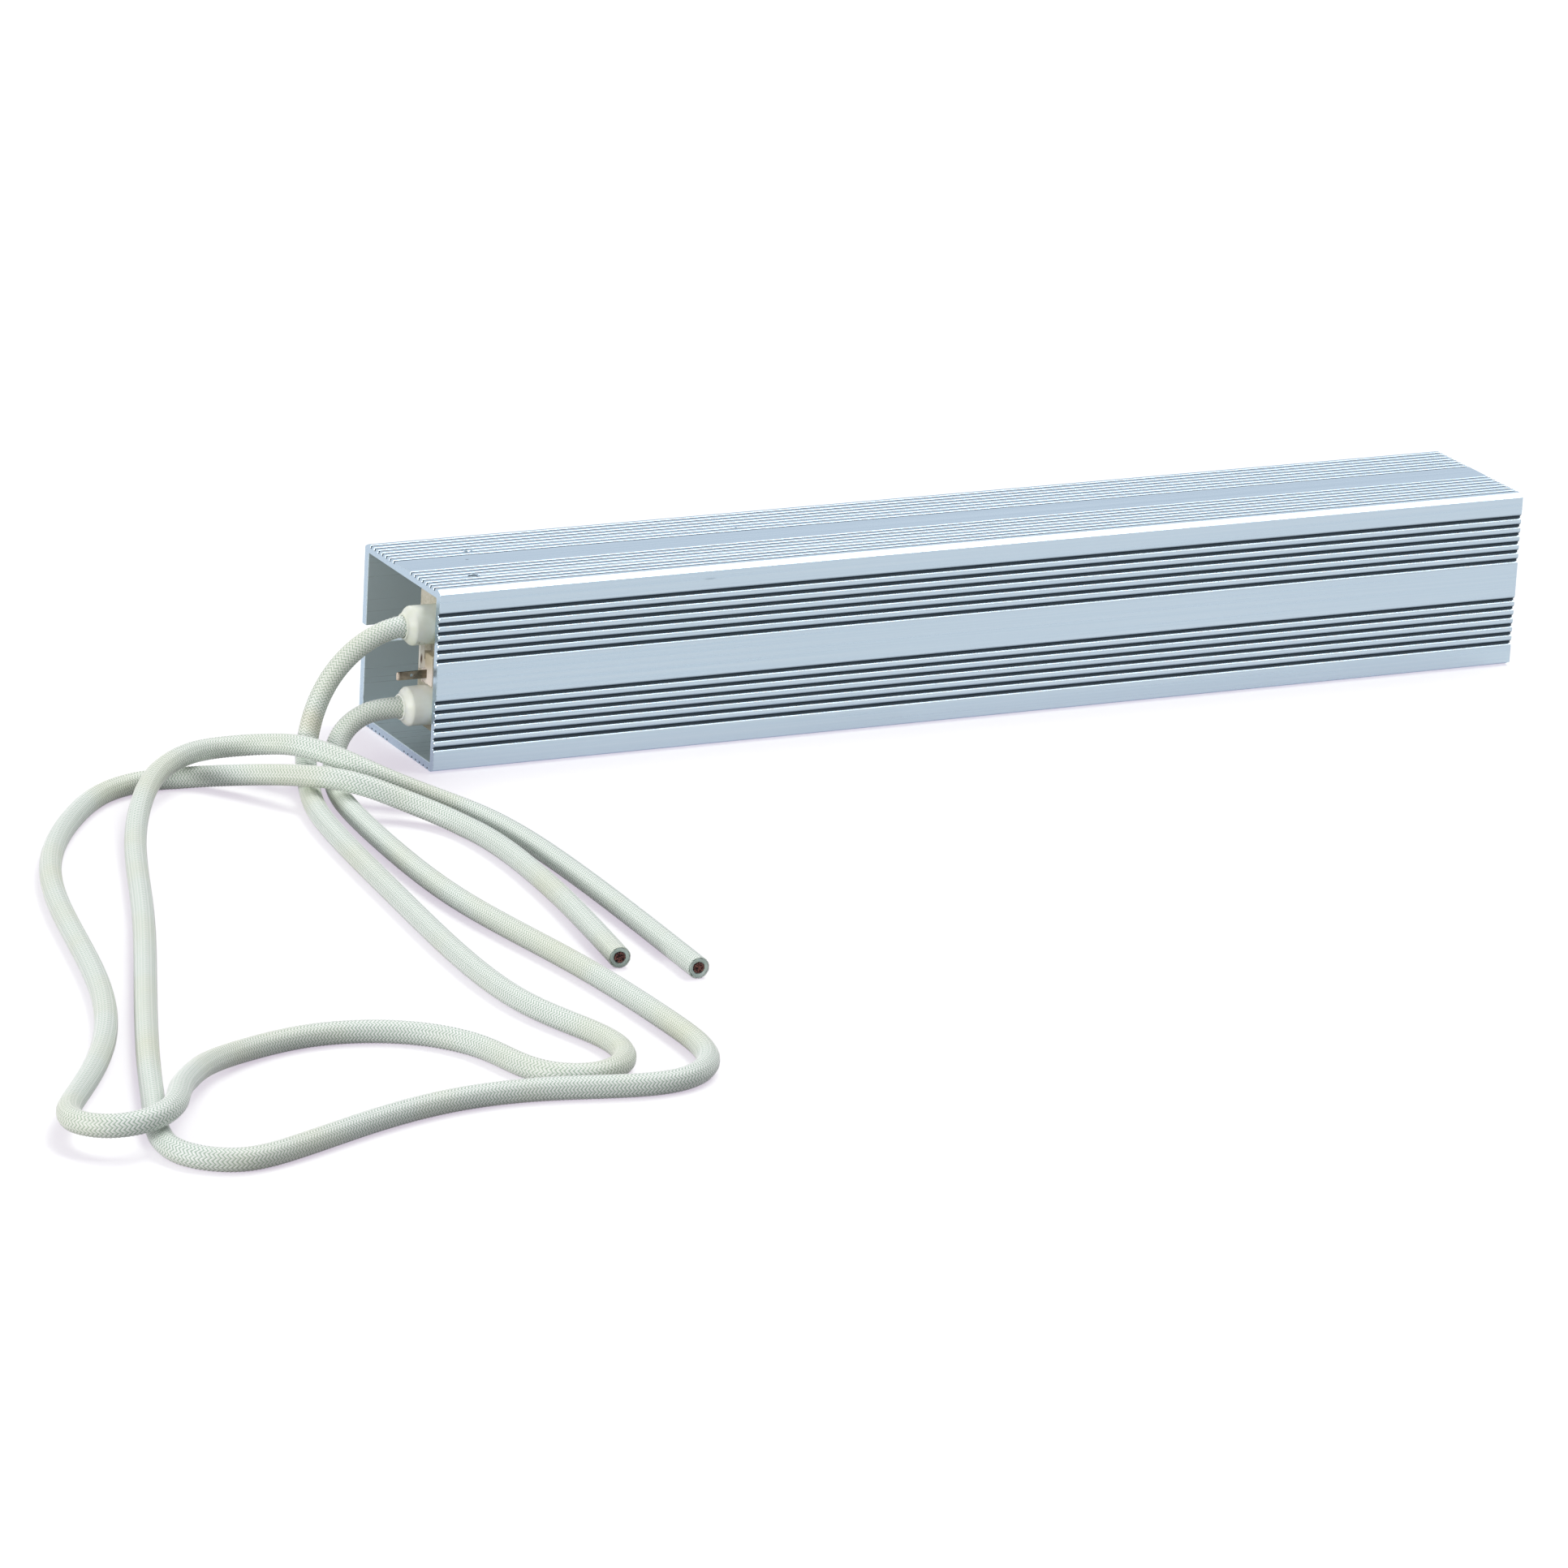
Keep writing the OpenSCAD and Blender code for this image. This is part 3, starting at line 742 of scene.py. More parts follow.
@dataclass
class Channel:
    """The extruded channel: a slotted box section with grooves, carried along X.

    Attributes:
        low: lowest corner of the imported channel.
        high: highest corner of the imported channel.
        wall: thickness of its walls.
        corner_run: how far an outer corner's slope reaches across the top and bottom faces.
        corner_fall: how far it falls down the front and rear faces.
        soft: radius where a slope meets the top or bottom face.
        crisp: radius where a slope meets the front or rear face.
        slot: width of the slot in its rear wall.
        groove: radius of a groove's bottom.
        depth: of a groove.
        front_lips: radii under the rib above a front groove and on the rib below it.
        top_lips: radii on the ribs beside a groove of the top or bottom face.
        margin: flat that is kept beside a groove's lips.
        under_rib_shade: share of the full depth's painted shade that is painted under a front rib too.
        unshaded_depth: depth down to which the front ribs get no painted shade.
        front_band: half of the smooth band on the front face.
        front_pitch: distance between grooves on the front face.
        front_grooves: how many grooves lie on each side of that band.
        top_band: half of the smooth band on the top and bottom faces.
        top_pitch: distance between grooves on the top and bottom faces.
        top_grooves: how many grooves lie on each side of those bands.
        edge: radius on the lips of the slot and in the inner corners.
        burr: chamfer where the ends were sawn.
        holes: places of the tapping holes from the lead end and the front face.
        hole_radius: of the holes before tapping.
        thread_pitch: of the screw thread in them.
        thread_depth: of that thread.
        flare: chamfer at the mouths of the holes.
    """

    ZONE = "zone"

    low: Vector
    high: Vector
    wall: float = 3 * MM
    corner_run: float = 2.6 * MM
    corner_fall: float = 1.2 * MM
    soft: float = 2.2 * MM
    crisp: float = 0.3 * MM
    slot: float = 6 * MM
    groove: float = 0.5 * MM
    depth: float = 0.9 * MM
    front_lips: tuple[float, float] = (1.1 * MM, 1.1 * MM)
    top_lips: tuple[float, float] = (0.3 * MM, 0.3 * MM)
    margin: float = 0.05 * MM
    under_rib_shade: float = 1.0
    unshaded_depth: float = 0.55 * MM
    front_band: float = 7 * MM
    front_pitch: float = 3.05 * MM
    front_grooves: int = 6
    top_band: float = 6.75 * MM
    top_pitch: float = 3 * MM
    top_grooves: int = 7
    edge: float = 0.3 * MM
    burr: float = 0.2 * MM
    holes: tuple[tuple[float, float], ...] = ((18 * MM, 13.75 * MM), (28 * MM, 41 * MM))
    hole_radius: float = 1.65 * MM
    thread_pitch: float = 0.7 * MM
    thread_depth: float = 0.25 * MM
    flare: float = 0.35 * MM

    def groove_section(self, lips: tuple[float, float], under_rib_shade: float,
                       shade_start: float) -> tuple[np.ndarray, np.ndarray, np.ndarray]:
        """Section of one groove: a round bottom, met by a rounded lip on each side.

        A lip's circle touches the face and the bottom's circle, which fixes where it starts. The painted
        shade grows with the depth, and under the first lip also with the way in from the face.

        Args:
            lips: radii of the first and the second lip.
            under_rib_shade: share of the full depth's painted shade at the inner end of the first lip.
            shade_start: depth from which the painted shade grows.

        Returns:
            Offsets along the face, depths below it, and the share of painted shade from 0 to 1.
        """
        drop = self.depth - self.groove
        first, second = lips
        before, after = (math.sqrt((self.groove + lip) ** 2 - (lip - drop) ** 2) for lip in lips)
        lean_before = math.degrees(math.atan2(first - drop, before))
        lean_after = math.degrees(math.atan2(second - drop, after))
        section = np.concatenate([
            [[-before - self.margin, 0]], arc((-before, -first), first, 90, lean_before, 7),
            arc((0, -drop), self.groove, 180 + lean_before, 360 - lean_after, 8)[1:-1],
            arc((after, -second), second, 180 - lean_after, 90, 7), [[after + self.margin, 0]]])
        along, depth = section[:, 0], -section[:, 1]
        # Painted shade under the first lip, besides the painted shade that grows with depth
        way_in = np.where(along < 0, np.clip(1 + along / before, 0, 1), 0)
        return along, depth, np.maximum((depth - shade_start) / (self.depth - shade_start), under_rib_shade * way_in)

    def places(self, middle: float, band: float, pitch: float, count: int) -> np.ndarray:
        """Middles of the grooves on one face, in rising order."""
        half = band + pitch * np.arange(count)
        return np.concatenate([middle - half[::-1], middle + half])

    def section(self) -> tuple[np.ndarray, np.ndarray]:
        """Outline of the channel in Y and Z, counterclockwise seen from +X.

        Returns:
            The outline's points, and the zone of each: -1 on the inner faces, 0 on the outer ones, and
            its share of painted shade in a groove.
        """
        front, rear, top = self.low.y, self.high.y, self.high.z
        inner_front, inner_rear, inner_top = front + self.wall, rear - self.wall, top - self.wall
        slot_low, slot_high = (top - self.slot) / 2, (top + self.slot) / 2
        run, fall, soft, crisp, edge = self.corner_run, self.corner_fall, self.soft, self.crisp, self.edge
        corners = [
            ((front, fall), crisp), ((front + run, 0), soft), ((rear - run, 0), soft), ((rear, fall), crisp),
            ((rear, slot_low), edge), ((inner_rear, slot_low), edge), ((inner_rear, self.wall), edge),
            ((inner_front, self.wall), edge), ((inner_front, inner_top), edge),
            ((inner_rear, inner_top), edge), ((inner_rear, slot_high), edge), ((rear, slot_high), edge),
            ((rear, top - fall), crisp), ((rear - run, top), soft), ((front + run, top), soft),
            ((front, top - fall), crisp),
        ]
        # The inner corners, and the corners before which the bottom's and the top's grooves lie
        inner, bottom_at, top_at = range(5, 11), 2, 14
        bends = rounded([place for place, _ in corners], [radius for _, radius in corners])
        on_front = self.places(top / 2, self.front_band, self.front_pitch, self.front_grooves)[::-1, None]
        on_top = self.places((front + rear) / 2, self.top_band, self.top_pitch, self.top_grooves)[:, None]
        along, depth, front_shade = self.groove_section(self.front_lips, self.under_rib_shade, self.unshaded_depth)
        face = np.stack(np.broadcast_arrays(front + depth, on_front - along), -1).reshape(-1, 2)
        along, depth, top_shade = self.groove_section(self.top_lips, 0, 0)
        bottom = np.stack(np.broadcast_arrays(on_top + along, depth), -1).reshape(-1, 2)
        above = np.stack(np.broadcast_arrays(on_top[::-1] - along, top - depth), -1).reshape(-1, 2)
        zones = [np.full(len(bend), -1.0 if number in inner else 0.0) for number, bend in enumerate(bends)]
        on_flat, on_face = np.resize(top_shade, len(above)), np.resize(front_shade, len(face))
        runs = [*bends[:bottom_at], bottom, *bends[bottom_at:top_at], above, *bends[top_at:], face]
        zones = [*zones[:bottom_at], on_flat, *zones[bottom_at:top_at], on_flat, *zones[top_at:], on_face]
        return np.concatenate(runs), np.concatenate(zones)

    def tapped_hole(self, from_end: float, from_face: float) -> np.ndarray:
        """Screw-shaped tool that cuts one tapped hole.

        Its radius is the hole's, plus a triangle wave that climbs one pitch in each turn, and it
        flares at the top face.

        Args:
            from_end: distance of the hole from the lead end.
            from_face: distance of the hole from the front face.

        Returns:
            Rings of points.
        """
        sides, rings, spare = 36, 49, 0.5 * MM
        height = np.linspace(self.high.z - self.wall - spare, self.high.z + spare, rings)[:, None]
        turn = np.arange(sides)[None, :] / sides
        wave = np.abs(2 * np.mod(height / self.thread_pitch - turn, 1) - 1)
        mouth = self.hole_radius + self.flare + height - self.high.z
        radius = np.maximum(self.hole_radius + self.thread_depth * wave, mouth)
        angle = math.tau * turn
        along = self.low.x + from_end + radius * np.cos(angle)
        across = self.low.y + from_face + radius * np.sin(angle)
        return np.stack(np.broadcast_arrays(along, across, height), -1)

    def build(self) -> bpy.types.Object:
        """Carry the section from end to end and cut the tapped holes.

        Returns:
            The channel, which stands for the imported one.
        """
        outline, zone = self.section()
        rings = prism(outline, self.low.x, self.high.x, self.burr, 0)
        faces = tube_faces(*rings.shape[:2])
        piece = make_piece("extruded_channel", rings, faces, ALUMINIUM, Shading.CREASED)
        zones = piece.data.attributes.new(self.ZONE, "FLOAT", "POINT")
        values = np.tile(zone, (len(rings), 1)).astype(np.float32)
        # The sawn ends take the outer faces' colour, without painted shade
        values[[0, -1]] = 0
        zones.data.foreach_set("value", values.ravel())
        for place in self.holes:
            carve(piece, self.tapped_hole(*place))
        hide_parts("housing")
        return piece


@dataclass
class Bushing:
    """A pale collar turned about X: a drum with a soft shoulder that falls to the lead.

    Attributes:
        node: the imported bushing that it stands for.
        name: first word of the names of its pieces.
        finish: its silicone.
        lead_radius: radius of the lead that leaves it.
        play: gap between the lead and the collar.
        mouth_wall: how far the mouth stands out from the lead.
        fall: length over which the drum falls to its mouth.
        steep: power that makes the fall steeper near the mouth.
        drum: distance from the mouth to an extra outline point on the drum.
        seat: how far the collar goes into the cement block.
        threads: how many loose threads of the braid stand out at the mouth.
        thread_radius: of a loose thread at its root.
        thread_lengths: shortest and longest of them.
    """

    node: str
    name: str
    finish: MouldedSilicone
    lead_radius: float
    play: float = 0.05 * MM
    mouth_wall: float = 0.75 * MM
    fall: float = 2.8 * MM
    steep: float = 0.85
    drum: float = 6 * MM
    seat: float = 0.1 * MM
    threads: int = 22
    thread_radius: float = 0.11 * MM
    thread_lengths: tuple[float, float] = (0.8 * MM, 2.4 * MM)

    def build(self) -> bpy.types.Object:
        """Turn the outline, with a slight unevenness from the mould, and add the loose threads.

        From the mouth to the drum the radius rises as half a cosine wave, steeper near the mouth.

        Returns:
            The collar.
        """
        low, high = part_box(self.node)
        radius, bore = (high.z - low.z) / 2, self.lead_radius + self.play
        mouth, seat = self.lead_radius + self.mouth_wall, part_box("cement_block")[0].x + self.seat
        lip = (mouth - bore) / 2
        share = np.linspace(0, 1, 17)
        rise = mouth + (radius - mouth) * (0.5 - 0.5 * np.cos(math.pi * share**self.steep))
        profile = np.concatenate([
            [[seat, bore]], arc((low.x + lip, bore + lip), lip, 270, 90),
            np.stack([low.x + lip + self.fall * share, rise], -1)[1:],
            [[low.x + self.drum, radius], [seat, radius]]])
        angle = np.linspace(0, math.tau, 72, endpoint=False)[None, :]
        swell = 1 + 0.008 * np.sin(2 * angle + 0.6) + 0.004 * np.sin(5 * angle + 1.7)
        along, out = profile[:, 0][:, None], profile[:, 1][:, None]
        out = np.where(out > bore + lip, out * swell, out)
        middle_y, middle_z = (low.y + high.y) / 2, (low.z + high.z) / 2
        ahead, sideways, up = np.eye(3)
        points = Station(np.array([0, middle_y, middle_z]), ahead, up, sideways).turned(along, out, angle)
        faces = grid_quads(*points.shape[:2], closed=True).tolist()
        piece = make_piece(f"{self.name}_collar", points, faces, self.finish, Shading.CREASED)
        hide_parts(self.node)
        self.loose_threads(Vector((low.x, middle_y, middle_z)))
        return piece

    def loose_threads(self, mouth: Vector) -> bpy.types.Object:
        """Short broken threads that stand out of the braid at the mouth.

        Each follows a parabola away from the lead, and its radius falls to a third at its tip.

        Args:
            mouth: middle of the collar's mouth.

        Returns:
            The threads as one piece.
        """
        draw = np.random.default_rng(31 + len(self.name))
        angle = draw.uniform(0, math.tau, self.threads)[:, None]
        length = draw.uniform(*self.thread_lengths, self.threads)[:, None]
        lift = draw.uniform(0.1, 0.55, self.threads)[:, None]
        sideways = draw.uniform(-0.12, 0.12, self.threads)[:, None]
        rings, sides, root, sunk = 6, 5, 0.5 * MM, 0.1 * MM
        along = np.linspace(0, 1, rings)[None, :]
        out = self.lead_radius - sunk + length * lift * along**2
        turn = angle + sideways * along
        spine = np.stack([
            mouth.x + root - length * along, mouth.y + out * np.sin(turn), mouth.z + out * np.cos(turn)], -1)
        around = np.arange(sides) * math.tau / sides
        thick = self.thread_radius * (1 - along[0] * 2 / 3)[None, :, None]
        radial = np.stack([np.zeros_like(turn), np.sin(turn), np.cos(turn)], -1)[:, :, None]
        across = np.stack([np.zeros_like(turn), np.cos(turn), -np.sin(turn)], -1)[:, :, None]
        points = spine[:, :, None] + (thick * np.cos(around))[..., None] * across + (
            thick * np.sin(around))[..., None] * radial
        faces = bundle_faces(self.threads, rings, sides)
        return make_piece(f"{self.name}_loose_threads", points, faces, THREAD, Shading.SMOOTH)


@dataclass
class Lead:
    """A braided lead along its route, with a bare cut end.

    Attributes:
        name: first word of the names of its pieces.
        node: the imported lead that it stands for.
        route: points in millimetres from the channel's lead end, its front face and the floor.
        corner: the lead end's lower front corner in metres.
        diameter: of the braid.
        columns: chevron columns around the braid. The real braid has a few more, too fine to show.
        thread: distance along the lead from one thread to the next.
        lean: how far a thread slants along the lead across its column, in rows of the grid.
        weave: height of the braid's threads.
        core_radius: radius of the conductor.
    """

    CHART = "braid"

    name: str
    node: str
    route: tuple[Point, ...]
    corner: Vector
    diameter: float = 7 * MM
    columns: int = 22
    thread: float = 1.15 * MM
    lean: float = 0.8
    weave: float = 0.18 * MM
    core_radius: float = 1.8 * MM

    def centreline(self, spacing: float) -> np.ndarray:
        """Natural cubic spline through the route's points, at even spacing.

        The knots lie apart by the square roots of the chords, which keeps tight bends round. The
        second derivatives at the knots solve the usual three-term equations. The line stays a
        lead's radius above the floor.

        Args:
            spacing: distance between two points, rounded to fit the length.

        Returns:
            Points in metres.
        """
        knots = np.array(self.route) * MM + np.array(self.corner)
        gaps = np.sqrt(np.linalg.norm(np.diff(knots, axis=0), axis=1))
        at = np.concatenate([[0], np.cumsum(gaps)])
        count, samples = len(knots), 12000
        system = np.eye(count)
        inner = np.arange(1, count - 1)
        system[inner, inner - 1] = gaps[:-1]
        system[inner, inner] = 2 * (gaps[:-1] + gaps[1:])
        system[inner, inner + 1] = gaps[1:]
        slopes = np.diff(knots, axis=0) / gaps[:, None]
        bend = np.zeros_like(knots)
        bend[1:-1] = 6 * np.diff(slopes, axis=0)
        bend = np.linalg.solve(system, bend)
        fine = np.linspace(0, at[-1], samples)
        left = np.clip(np.searchsorted(at, fine, "right") - 1, 0, count - 2)
        gap = gaps[left][:, None]
        ahead, behind = (fine - at[left])[:, None], (at[left + 1] - fine)[:, None]
        line = (bend[left] * behind**3 + bend[left + 1] * ahead**3) / (6 * gap)
        line += (knots[left] / gap - bend[left] * gap / 6) * behind
        line += (knots[left + 1] / gap - bend[left + 1] * gap / 6) * ahead
        line[:, 2] = np.maximum(line[:, 2], self.diameter / 2)
        travelled = np.concatenate([[0], np.cumsum(np.linalg.norm(np.diff(line, axis=0), axis=1))])
        even = np.linspace(0, travelled[-1], round(travelled[-1] / spacing) + 1)
        return np.stack([np.interp(even, travelled, line[:, k]) for k in range(3)], -1)

    @staticmethod
    def frames(line: np.ndarray) -> tuple[np.ndarray, np.ndarray, np.ndarray]:
        """Directions along and across a line, without twist.

        The upward direction square to the line is turned back by the sum of the small turns that
        it makes about the line from point to point.

        Args:
            line: points of the centreline.

        Returns:
            Unit vectors along, across and across again, which are right-handed.
        """
        ahead = np.gradient(line, axis=0)
        ahead /= np.linalg.norm(ahead, axis=1)[:, None]
        up = np.array([0, 0, 1.0]) - ahead * ahead[:, 2:]
        up /= np.linalg.norm(up, axis=1)[:, None]
        side = np.cross(ahead, up)
        small = np.arctan2((up[1:] * side[:-1]).sum(1), (up[1:] * up[:-1]).sum(1))
        twist = -np.concatenate([[0], np.cumsum(small)])[:, None]
        first = np.cos(twist) * up + np.sin(twist) * side
        return ahead, first, np.cross(ahead, first)

    def woven_tube(self, line: np.ndarray, first: np.ndarray,
                   second: np.ndarray) -> tuple[np.ndarray, np.ndarray]:
        """Carry a circle along the route, with the threads' relief.

        The rows of the grid zigzag: they run ahead at every other border between columns and lag
        at the rest, so each row is a line of chevrons. The radius is full on a column's middle in
        every other row, and lower by the weave between threads.

        Args:
            line: points of the centreline.
            first: directions across it.
            second: the other directions across it.

        Returns:
            The tube's rings of points, and the outward direction at each point.
        """
        sides, border_height = 2 * self.columns, 0.4
        side, row = np.arange(sides)[None, :], np.arange(len(line))[:, None]
        zigzag = np.where(side % 2 == 1, 0, np.where(side % 4 == 0, -1, 1)) * self.lean
        place = np.clip(row + zigzag, 0, len(line) - 1)
        centre, up, across = (
            np.stack([np.interp(place, row[:, 0], values[:, k]) for k in range(3)], -1)
            for values in (line, first, second))
        angle = math.tau * side / sides
        out = np.cos(angle)[..., None] * up + np.sin(angle)[..., None] * across
        crown, hump = 1 - row % 2, side % 2
        height = crown * (border_height + (1 - border_height) * hump)
        radius = self.diameter / 2 - self.weave * (1 - height)
        return centre + radius[..., None] * out, out

    def cut_rim(self, end: Station, out: np.ndarray) -> np.ndarray:
        """Frayed rim of the braid at the cut, and the ring where it turns in.

        Args:
            end: the cut end.
            out: outward directions of the braid's last ring.

        Returns:
            Two rings of points.
        """
        shortest, longest, proud = -0.25 * MM, 0.15 * MM, 0.1 * MM
        rim_step, fold_step, fold_back = 0.3 * MM, 0.55 * MM, 0.6 * MM
        fray = np.random.default_rng(len(self.name)).uniform(shortest, longest, (1, out.shape[1], 1))
        rim = end.middle + out * (self.diameter / 2 - rim_step) + end.ahead * (proud + fray)
        inside = end.middle + out * (self.diameter / 2 - fold_step) - end.ahead * fold_back
        return np.concatenate([rim, inside])

    def lay_chart(self, piece: bpy.types.Object, rows: int, sides: int) -> None:
        """Give the braid its chart, in which columns and threads are one unit apart.

        Args:
            piece: the braid.
            rows: how many rings it has.
            sides: how many points a ring has.
        """
        chart = np.stack(np.broadcast_arrays(
            np.arange(sides + 1)[None, :] / 2, np.arange(rows)[:, None] / 2), -1)
        corners = np.stack([chart[:-1, :-1], chart[:-1, 1:], chart[1:, 1:], chart[1:, :-1]], 2).reshape(-1, 2)
        caps = np.zeros((2 * sides, 2))
        layer = piece.data.uv_layers.new(name=self.CHART)
        layer.uv.foreach_set("vector", np.concatenate([corners, caps]).astype(np.float32).ravel())

    def build(self, mouth: Vector) -> bpy.types.Object:
        """Args:
            mouth: where the lead leaves its collar; not used.

        Returns:
            The braid.
        """
        line = self.centreline(self.thread / 2)
        ahead, first, second = self.frames(line)
        tube, out = self.woven_tube(line, first, second)
        end = Station(line[-1], ahead[-1], first[-1], second[-1])
        points = np.concatenate([tube, self.cut_rim(end, out[-1:])])
        faces = tube_faces(*points.shape[:2])
        piece = make_piece(f"{self.name}_braid", points, faces, BRAID, Shading.SMOOTH)
        self.lay_chart(piece, *points.shape[:2])
        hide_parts(self.node)
        fittings = [self.cut_insulation(end), self.cut_strands(end)]
        return piece

    def cut_insulation(self, end: Station) -> bpy.types.Object:
        """Cut face of the insulation: a dished ring between the braid and the conductor.

        Args:
            end: the cut end.

        Returns:
            The ring.
        """
        outer, core, root = self.diameter / 2 - 0.5 * MM, self.core_radius, -0.9 * MM
        profile = np.array([
            [outer, root], [outer, -0.12 * MM], [outer - 0.15 * MM, 0], [2.4 * MM, -0.03 * MM],
            [core + 0.2 * MM, -0.1 * MM], [core, -0.35 * MM], [core, root]])
        angle = np.linspace(0, math.tau, 48, endpoint=False)[None, :]
        wobble = 1 + 0.03 * np.sin(3 * angle + 0.4) + 0.02 * np.sin(7 * angle)
        points = end.turned(profile[:, 1][:, None], profile[:, 0][:, None] * wobble, angle)
        faces = grid_quads(*points.shape[:2], closed=True).tolist()
        return make_piece(f"{self.name}_insulation", points, faces, INSULATION, Shading.CREASED)

    def cut_strands(self, end: Station) -> bpy.types.Object:
        """Cut conductor: one strand in the middle, six around it and twelve around those.

        Five strands lie side by side across the middle, which sets their pitch.

        Args:
            end: the cut end.

        Returns:
            The strands as one piece.
        """
        pitch = self.core_radius / 2.5
        rings = [(0, 1), (pitch, 6), (1.93 * pitch, 12)]
        radius = np.concatenate([np.full(count, far) for far, count in rings])[:, None, None]
        angle = np.concatenate([np.arange(count) * math.tau / count + 0.2 for _, count in rings])
        angle, strands = angle[:, None, None], len(radius)
        lift = np.random.default_rng(7).uniform(-0.12 * MM, 0.08 * MM, strands)[:, None, None]
        turn = np.linspace(0, math.tau, 10, endpoint=False)
        profile = np.array([[0.5 * pitch, -0.8 * MM], [0.5 * pitch, -0.06 * MM], [0.4 * pitch, 0.0]])
        thick, high = profile[:, 0][:, None], profile[:, 1][:, None]
        points = end.placed(high + lift, radius * np.cos(angle) + thick * np.cos(turn),
                            radius * np.sin(angle) + thick * np.sin(turn))
        faces = bundle_faces(strands, len(profile), len(turn))
        return make_piece(f"{self.name}_strands", points, faces, STRANDS, Shading.CREASED)


@dataclass
class HeatSwitch:
    """The heat switch's case and its two stamped tabs, one straight and one bent up.

    Attributes:
        tab_width: width of a tab.
        leg_width: width of the upright tab's leg.
        tab_corner: radius on the corners of a tab.
        tab_edge: bevel on the edges of a tab.
        hole_radius: of the hole in the straight tab.
        hole_from_case: distance of that hole from the case.
        case_corner: radius on the upright edges of the case.
        case_edge: bevel on its other edges.
        boss: how far its boss stands out towards the front wall.
    """

    tab_width: float = 2.8 * MM
    leg_width: float = 1.8 * MM
    tab_corner: float = 0.5 * MM
    tab_edge: float = 0.1 * MM
    hole_radius: float = 0.6 * MM
    hole_from_case: float = 5.25 * MM
    case_corner: float = 0.7 * MM
    case_edge: float = 0.3 * MM
    boss: float = 1.3 * MM

    @staticmethod
    def rectangle(low: Vector, high: Vector) -> list[tuple[float, float]]:
        """Corners of a box in Z and X, counterclockwise seen from +Y."""
        return [(low.z, low.x), (high.z, low.x), (high.z, high.x), (low.z, high.x)]

    def plate(self, node: str, name: str, corners: list[tuple[float, float]], radius: float, bevel: float,
              finish: Finish, skipped: float = 0.0) -> bpy.types.Object:
        """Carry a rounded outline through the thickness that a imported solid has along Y.

        Args:
            node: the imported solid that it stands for.
            name: the piece's name.
            corners: the outline's corners in Z and X, counterclockwise seen from +Y.
            radius: on the corners.
            bevel: on the edges.
            finish: what it is made of.
            skipped: how much of the thickness is left out at its front.

        Returns:
            The plate.
        """
        low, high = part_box(node)
        outline = np.concatenate(rounded(corners, [radius] * len(corners), 0.05 * MM))
        rings = prism(outline, low.y + skipped, high.y, bevel, 1)
        piece = make_piece(name, rings, tube_faces(*rings.shape[:2]), finish, Shading.CREASED)
        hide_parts(node)
        return piece

    def build(self) -> list[bpy.types.Object]:
        """Make the case and the tabs, and cut the hole of the straight tab.

        Returns:
            The three pieces.
        """
        low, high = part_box("switch_body")
        case = self.plate("switch_body", "switch_case", self.rectangle(low, high), self.case_corner,
                          self.case_edge, SWITCH_CERAMIC, self.boss)
        start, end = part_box("straight_tab")
        straight = self.plate("straight_tab", "straight_blade", self.rectangle(start, end), self.tab_corner,
                              self.tab_edge, TAB)
        spare = 1 * MM
        turn = np.linspace(0, math.tau, 24, endpoint=False)[None, :]
        through = np.array([start.y - spare, end.y + spare])[:, None]
        hole = np.stack(np.broadcast_arrays(
            low.x - self.hole_from_case + self.hole_radius * np.sin(turn), through,
            (start.z + end.z) / 2 + self.hole_radius * np.cos(turn)), -1)
        carve(straight, hole)
        start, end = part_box("upright_tab")
        inner_x, inner_z = start.x + self.leg_width, start.z + self.tab_width
        upright = self.plate("upright_tab", "upright_blade", [
            (start.z, start.x), (end.z, start.x), (end.z, inner_x), (inner_z, inner_x), (inner_z, end.x),
            (start.z, end.x)], self.tab_corner, self.tab_edge, PALE_TAB)
        return [case, straight, upright]


@dataclass(frozen=True)
class Lamp:
    """A soft rectangular lamp.

    Attributes:
        name: the lamp's name.
        place: its middle in metres.
        size: its width and height in metres.
        power: in watts.
    """

    name: str
    place: Point
    size: tuple[float, float]
    power: float

    def build(self, target: Point) -> None:
        """Add the lamp, facing a point and unseen by the camera.

        Args:
            target: the point that it faces.
        """
        data = bpy.data.lights.new(self.name, "AREA")
        data.shape = "RECTANGLE"
        data.size, data.size_y = self.size
        data.energy = self.power
        lamp = bpy.data.objects.new(self.name, data)
        bpy.context.scene.collection.objects.link(lamp)
        facing = (Vector(target) - Vector(self.place)).to_track_quat("-Z", "Y").to_matrix().to_4x4()
        lamp.matrix_world = Matrix.Translation(self.place) @ facing
        lamp.visible_camera = False


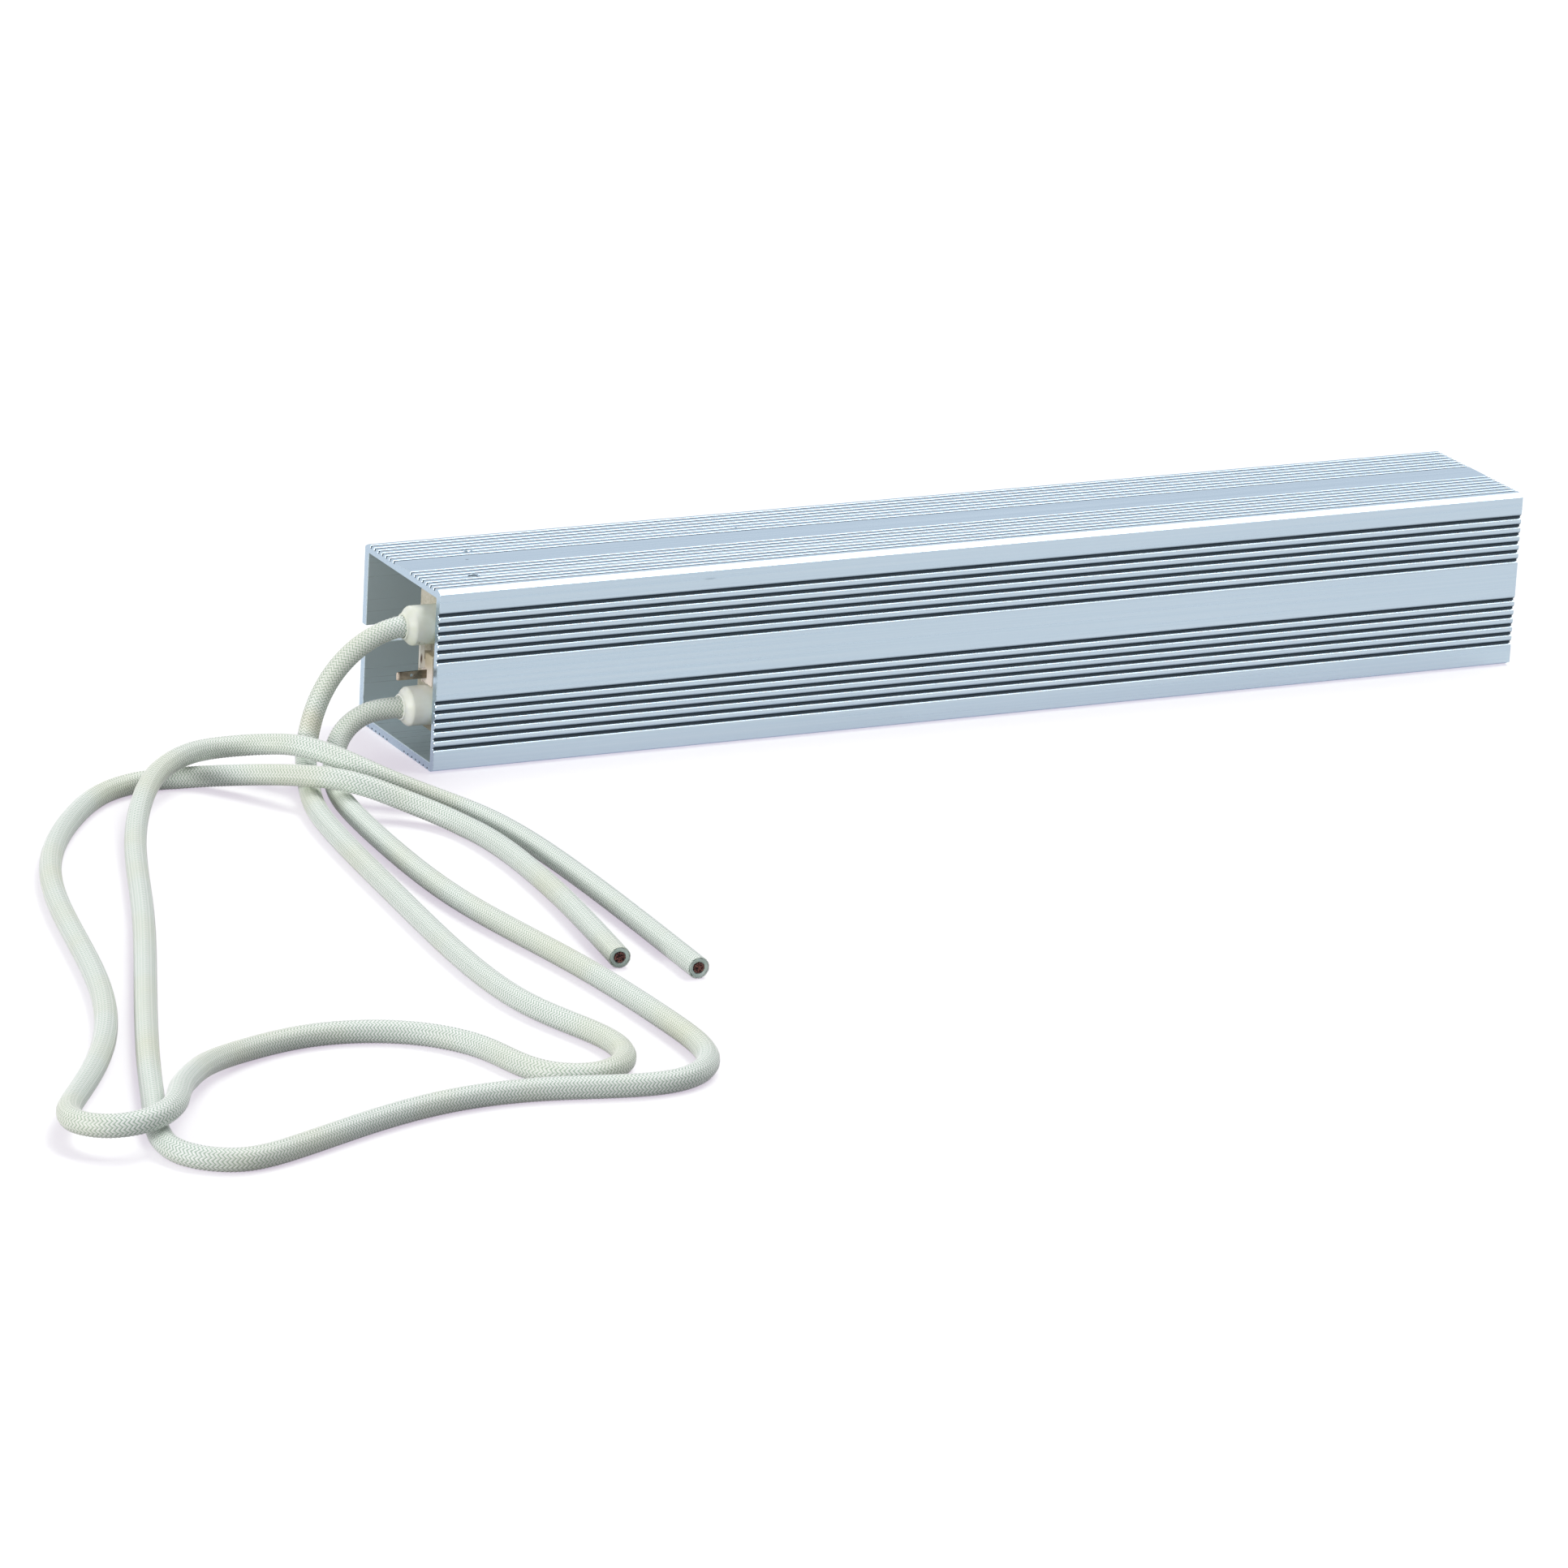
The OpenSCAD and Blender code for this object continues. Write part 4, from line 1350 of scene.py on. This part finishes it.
@dataclass
class Studio:
    """White floor and world, soft lamps, and a camera at the photograph's angle.

    Attributes:
        lens: focal length in millimetres, on a sensor of 36 mm.
        eye: place of the camera.
        right: direction of the picture's right.
        down: direction of the picture's lower edge.
        aim: the point that the lamps face.
        lamps: a wide one above, one that draws the ribs' highlights and a fill from the left.
        sky: strength of the world's light.
        sky_colour: sRGB hex value of that light.
        floor_half: half the floor's width.
        floor_plain: sRGB hex value of the floor as the object is lit by it.
        floor_lit: linear colour of the part of the seen floor that takes light and shadow.
        floor_glow: linear colour of the part that is its own light, which tints the shadow lilac.
    """

    lens: float = 186.34
    eye: Point = (-1.2563, -2.2731, 0.7959)
    right: Point = (0.89141, -0.45009, 0.05283)
    down: Point = (-0.09268, -0.29519, -0.95093)
    aim: Point = (-0.1, -0.05, 0.03)
    lamps: tuple[Lamp, ...] = (
        Lamp("overhead_softbox", (2.2, 1.2, 5.2), (3.2, 2.6), 145.0),
        Lamp("rib_strip", (2.4, -1.6, 5.0), (1.0, 3.2), 56.0),
        Lamp("left_fill", (-6.0, -1.5, 1.5), (3.0, 2.0), 235.0),
    )
    sky: float = 0.36
    sky_colour: str = "#f6f8ff"
    floor_half: float = 9.0
    floor_plain: str = "#8c8c8c"
    floor_lit: tuple[float, float, float, float] = (0.60, 0.66, 0.57, 1.0)
    floor_glow: tuple[float, float, float, float] = (0.56, 0.50, 0.59, 1.0)

    def camera(self) -> None:
        """Place the camera without shift or depth of field."""
        data = bpy.data.cameras.new("camera")
        data.lens = self.lens
        data.sensor_width = 36.0
        data.clip_end = 100.0
        camera = bpy.data.objects.new("camera", data)
        bpy.context.scene.collection.objects.link(camera)
        right = Vector(self.right).normalized()
        up = -Vector(self.down).normalized()
        turned = Matrix((right, up, right.cross(up))).transposed().to_4x4()
        camera.matrix_world = Matrix.Translation(self.eye) @ turned
        bpy.context.scene.camera = camera

    def seen(self, tree: bpy.types.NodeTree) -> bpy.types.Node:
        """Tell the rays that see the background from those that only carry its light.

        Args:
            tree: the floor's or the world's node tree.

        Returns:
            Node that is 1 for rays from the camera, from gloss and through glass, and 0 for the rest.
        """
        path = add_node(tree, "LightPath").outputs
        sharp = add_node(tree, "Math", {
            0: path["Is Glossy Ray"], 1: path["Is Transmission Ray"]}, operation="MAXIMUM")
        return add_node(tree, "Math", {0: path["Is Camera Ray"], 1: sharp}, operation="MAXIMUM")

    def world(self) -> None:
        """White to the eye and to gloss, and an even, weaker light to the rest."""
        world = bpy.data.worlds.new("studio")
        world.use_nodes = True
        tree = world.node_tree
        shown = tree.nodes["Background"]
        feed(tree, shown, {"Color": linear("#ffffff")})
        soft = add_node(tree, "Background", {"Color": linear(self.sky_colour), "Strength": self.sky})
        both = add_node(tree, "MixShader", {0: self.seen(tree), 1: soft, 2: shown})
        feed(tree, tree.nodes["World Output"], {"Surface": both})
        bpy.context.scene.world = world

    def floor(self) -> None:
        """White floor that keeps a soft lilac shadow: part of its white is its own light."""
        half = self.floor_half
        corners = [(-half, -half, 0), (half, -half, 0), (half, half, 0), (-half, half, 0)]
        mesh = bpy.data.meshes.new("floor")
        mesh.from_pydata(corners, [], [(0, 1, 2, 3)])
        floor = bpy.data.objects.new("floor", mesh)
        bpy.context.scene.collection.objects.link(floor)
        paint = bpy.data.materials.new("white studio floor")
        paint.use_nodes = True
        tree = paint.node_tree
        tree.nodes.remove(tree.nodes["Principled BSDF"])
        plain = add_node(tree, "BsdfDiffuse", {"Color": linear(self.floor_plain)})
        lit = add_node(tree, "BsdfDiffuse", {"Color": self.floor_lit})
        glow = add_node(tree, "Emission", {"Color": self.floor_glow, "Strength": 1.0})
        shown = add_node(tree, "AddShader", {0: lit, 1: glow})
        both = add_node(tree, "MixShader", {0: self.seen(tree), 1: plain, 2: shown})
        feed(tree, tree.nodes["Material Output"], {"Surface": both})
        mesh.materials.append(paint)

    def build(self) -> None:
        """Make the camera, the world, the floor and the lamps."""
        self.camera()
        self.world()
        self.floor()
        for lamp in self.lamps:
            lamp.build(self.aim)
        bpy.context.scene.view_settings.view_transform = "Standard"


def dress_kept_nodes(nodes: dict[str, bpy.types.Object]) -> None:
    """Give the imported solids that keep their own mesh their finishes.

    Args:
        nodes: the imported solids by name.
    """
    for name, finish in KEPT_NODES.items():
        node = nodes[name]
        if not node.material_slots:
            node.data.materials.append(None)
        for slot in node.material_slots:
            slot.material = finish.material()
        LOG.info("%s: %s", name, finish.name)


def main() -> None:
    """Build the studio, the leads, the collars, the channel and the switch, and dress the rest."""
    logging.basicConfig(level=logging.INFO, format="%(message)s")
    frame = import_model()
    Studio().build()
    low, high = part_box("housing")
    for name, route in ROUTES.items():
        lead = Lead(name, f"{name}_lead", route, low)
        start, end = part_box(f"{name}_bushing")
        lead.build(Vector((start.x, (start.y + end.y) / 2, (start.z + end.z) / 2)))
        Bushing(f"{name}_bushing", name, COLLARS[name], lead.diameter / 2).build()
    Channel(low, high).build()
    HeatSwitch().build()
    dress_kept_nodes(frame["nodes"])


if __name__ == "__main__":
    main()
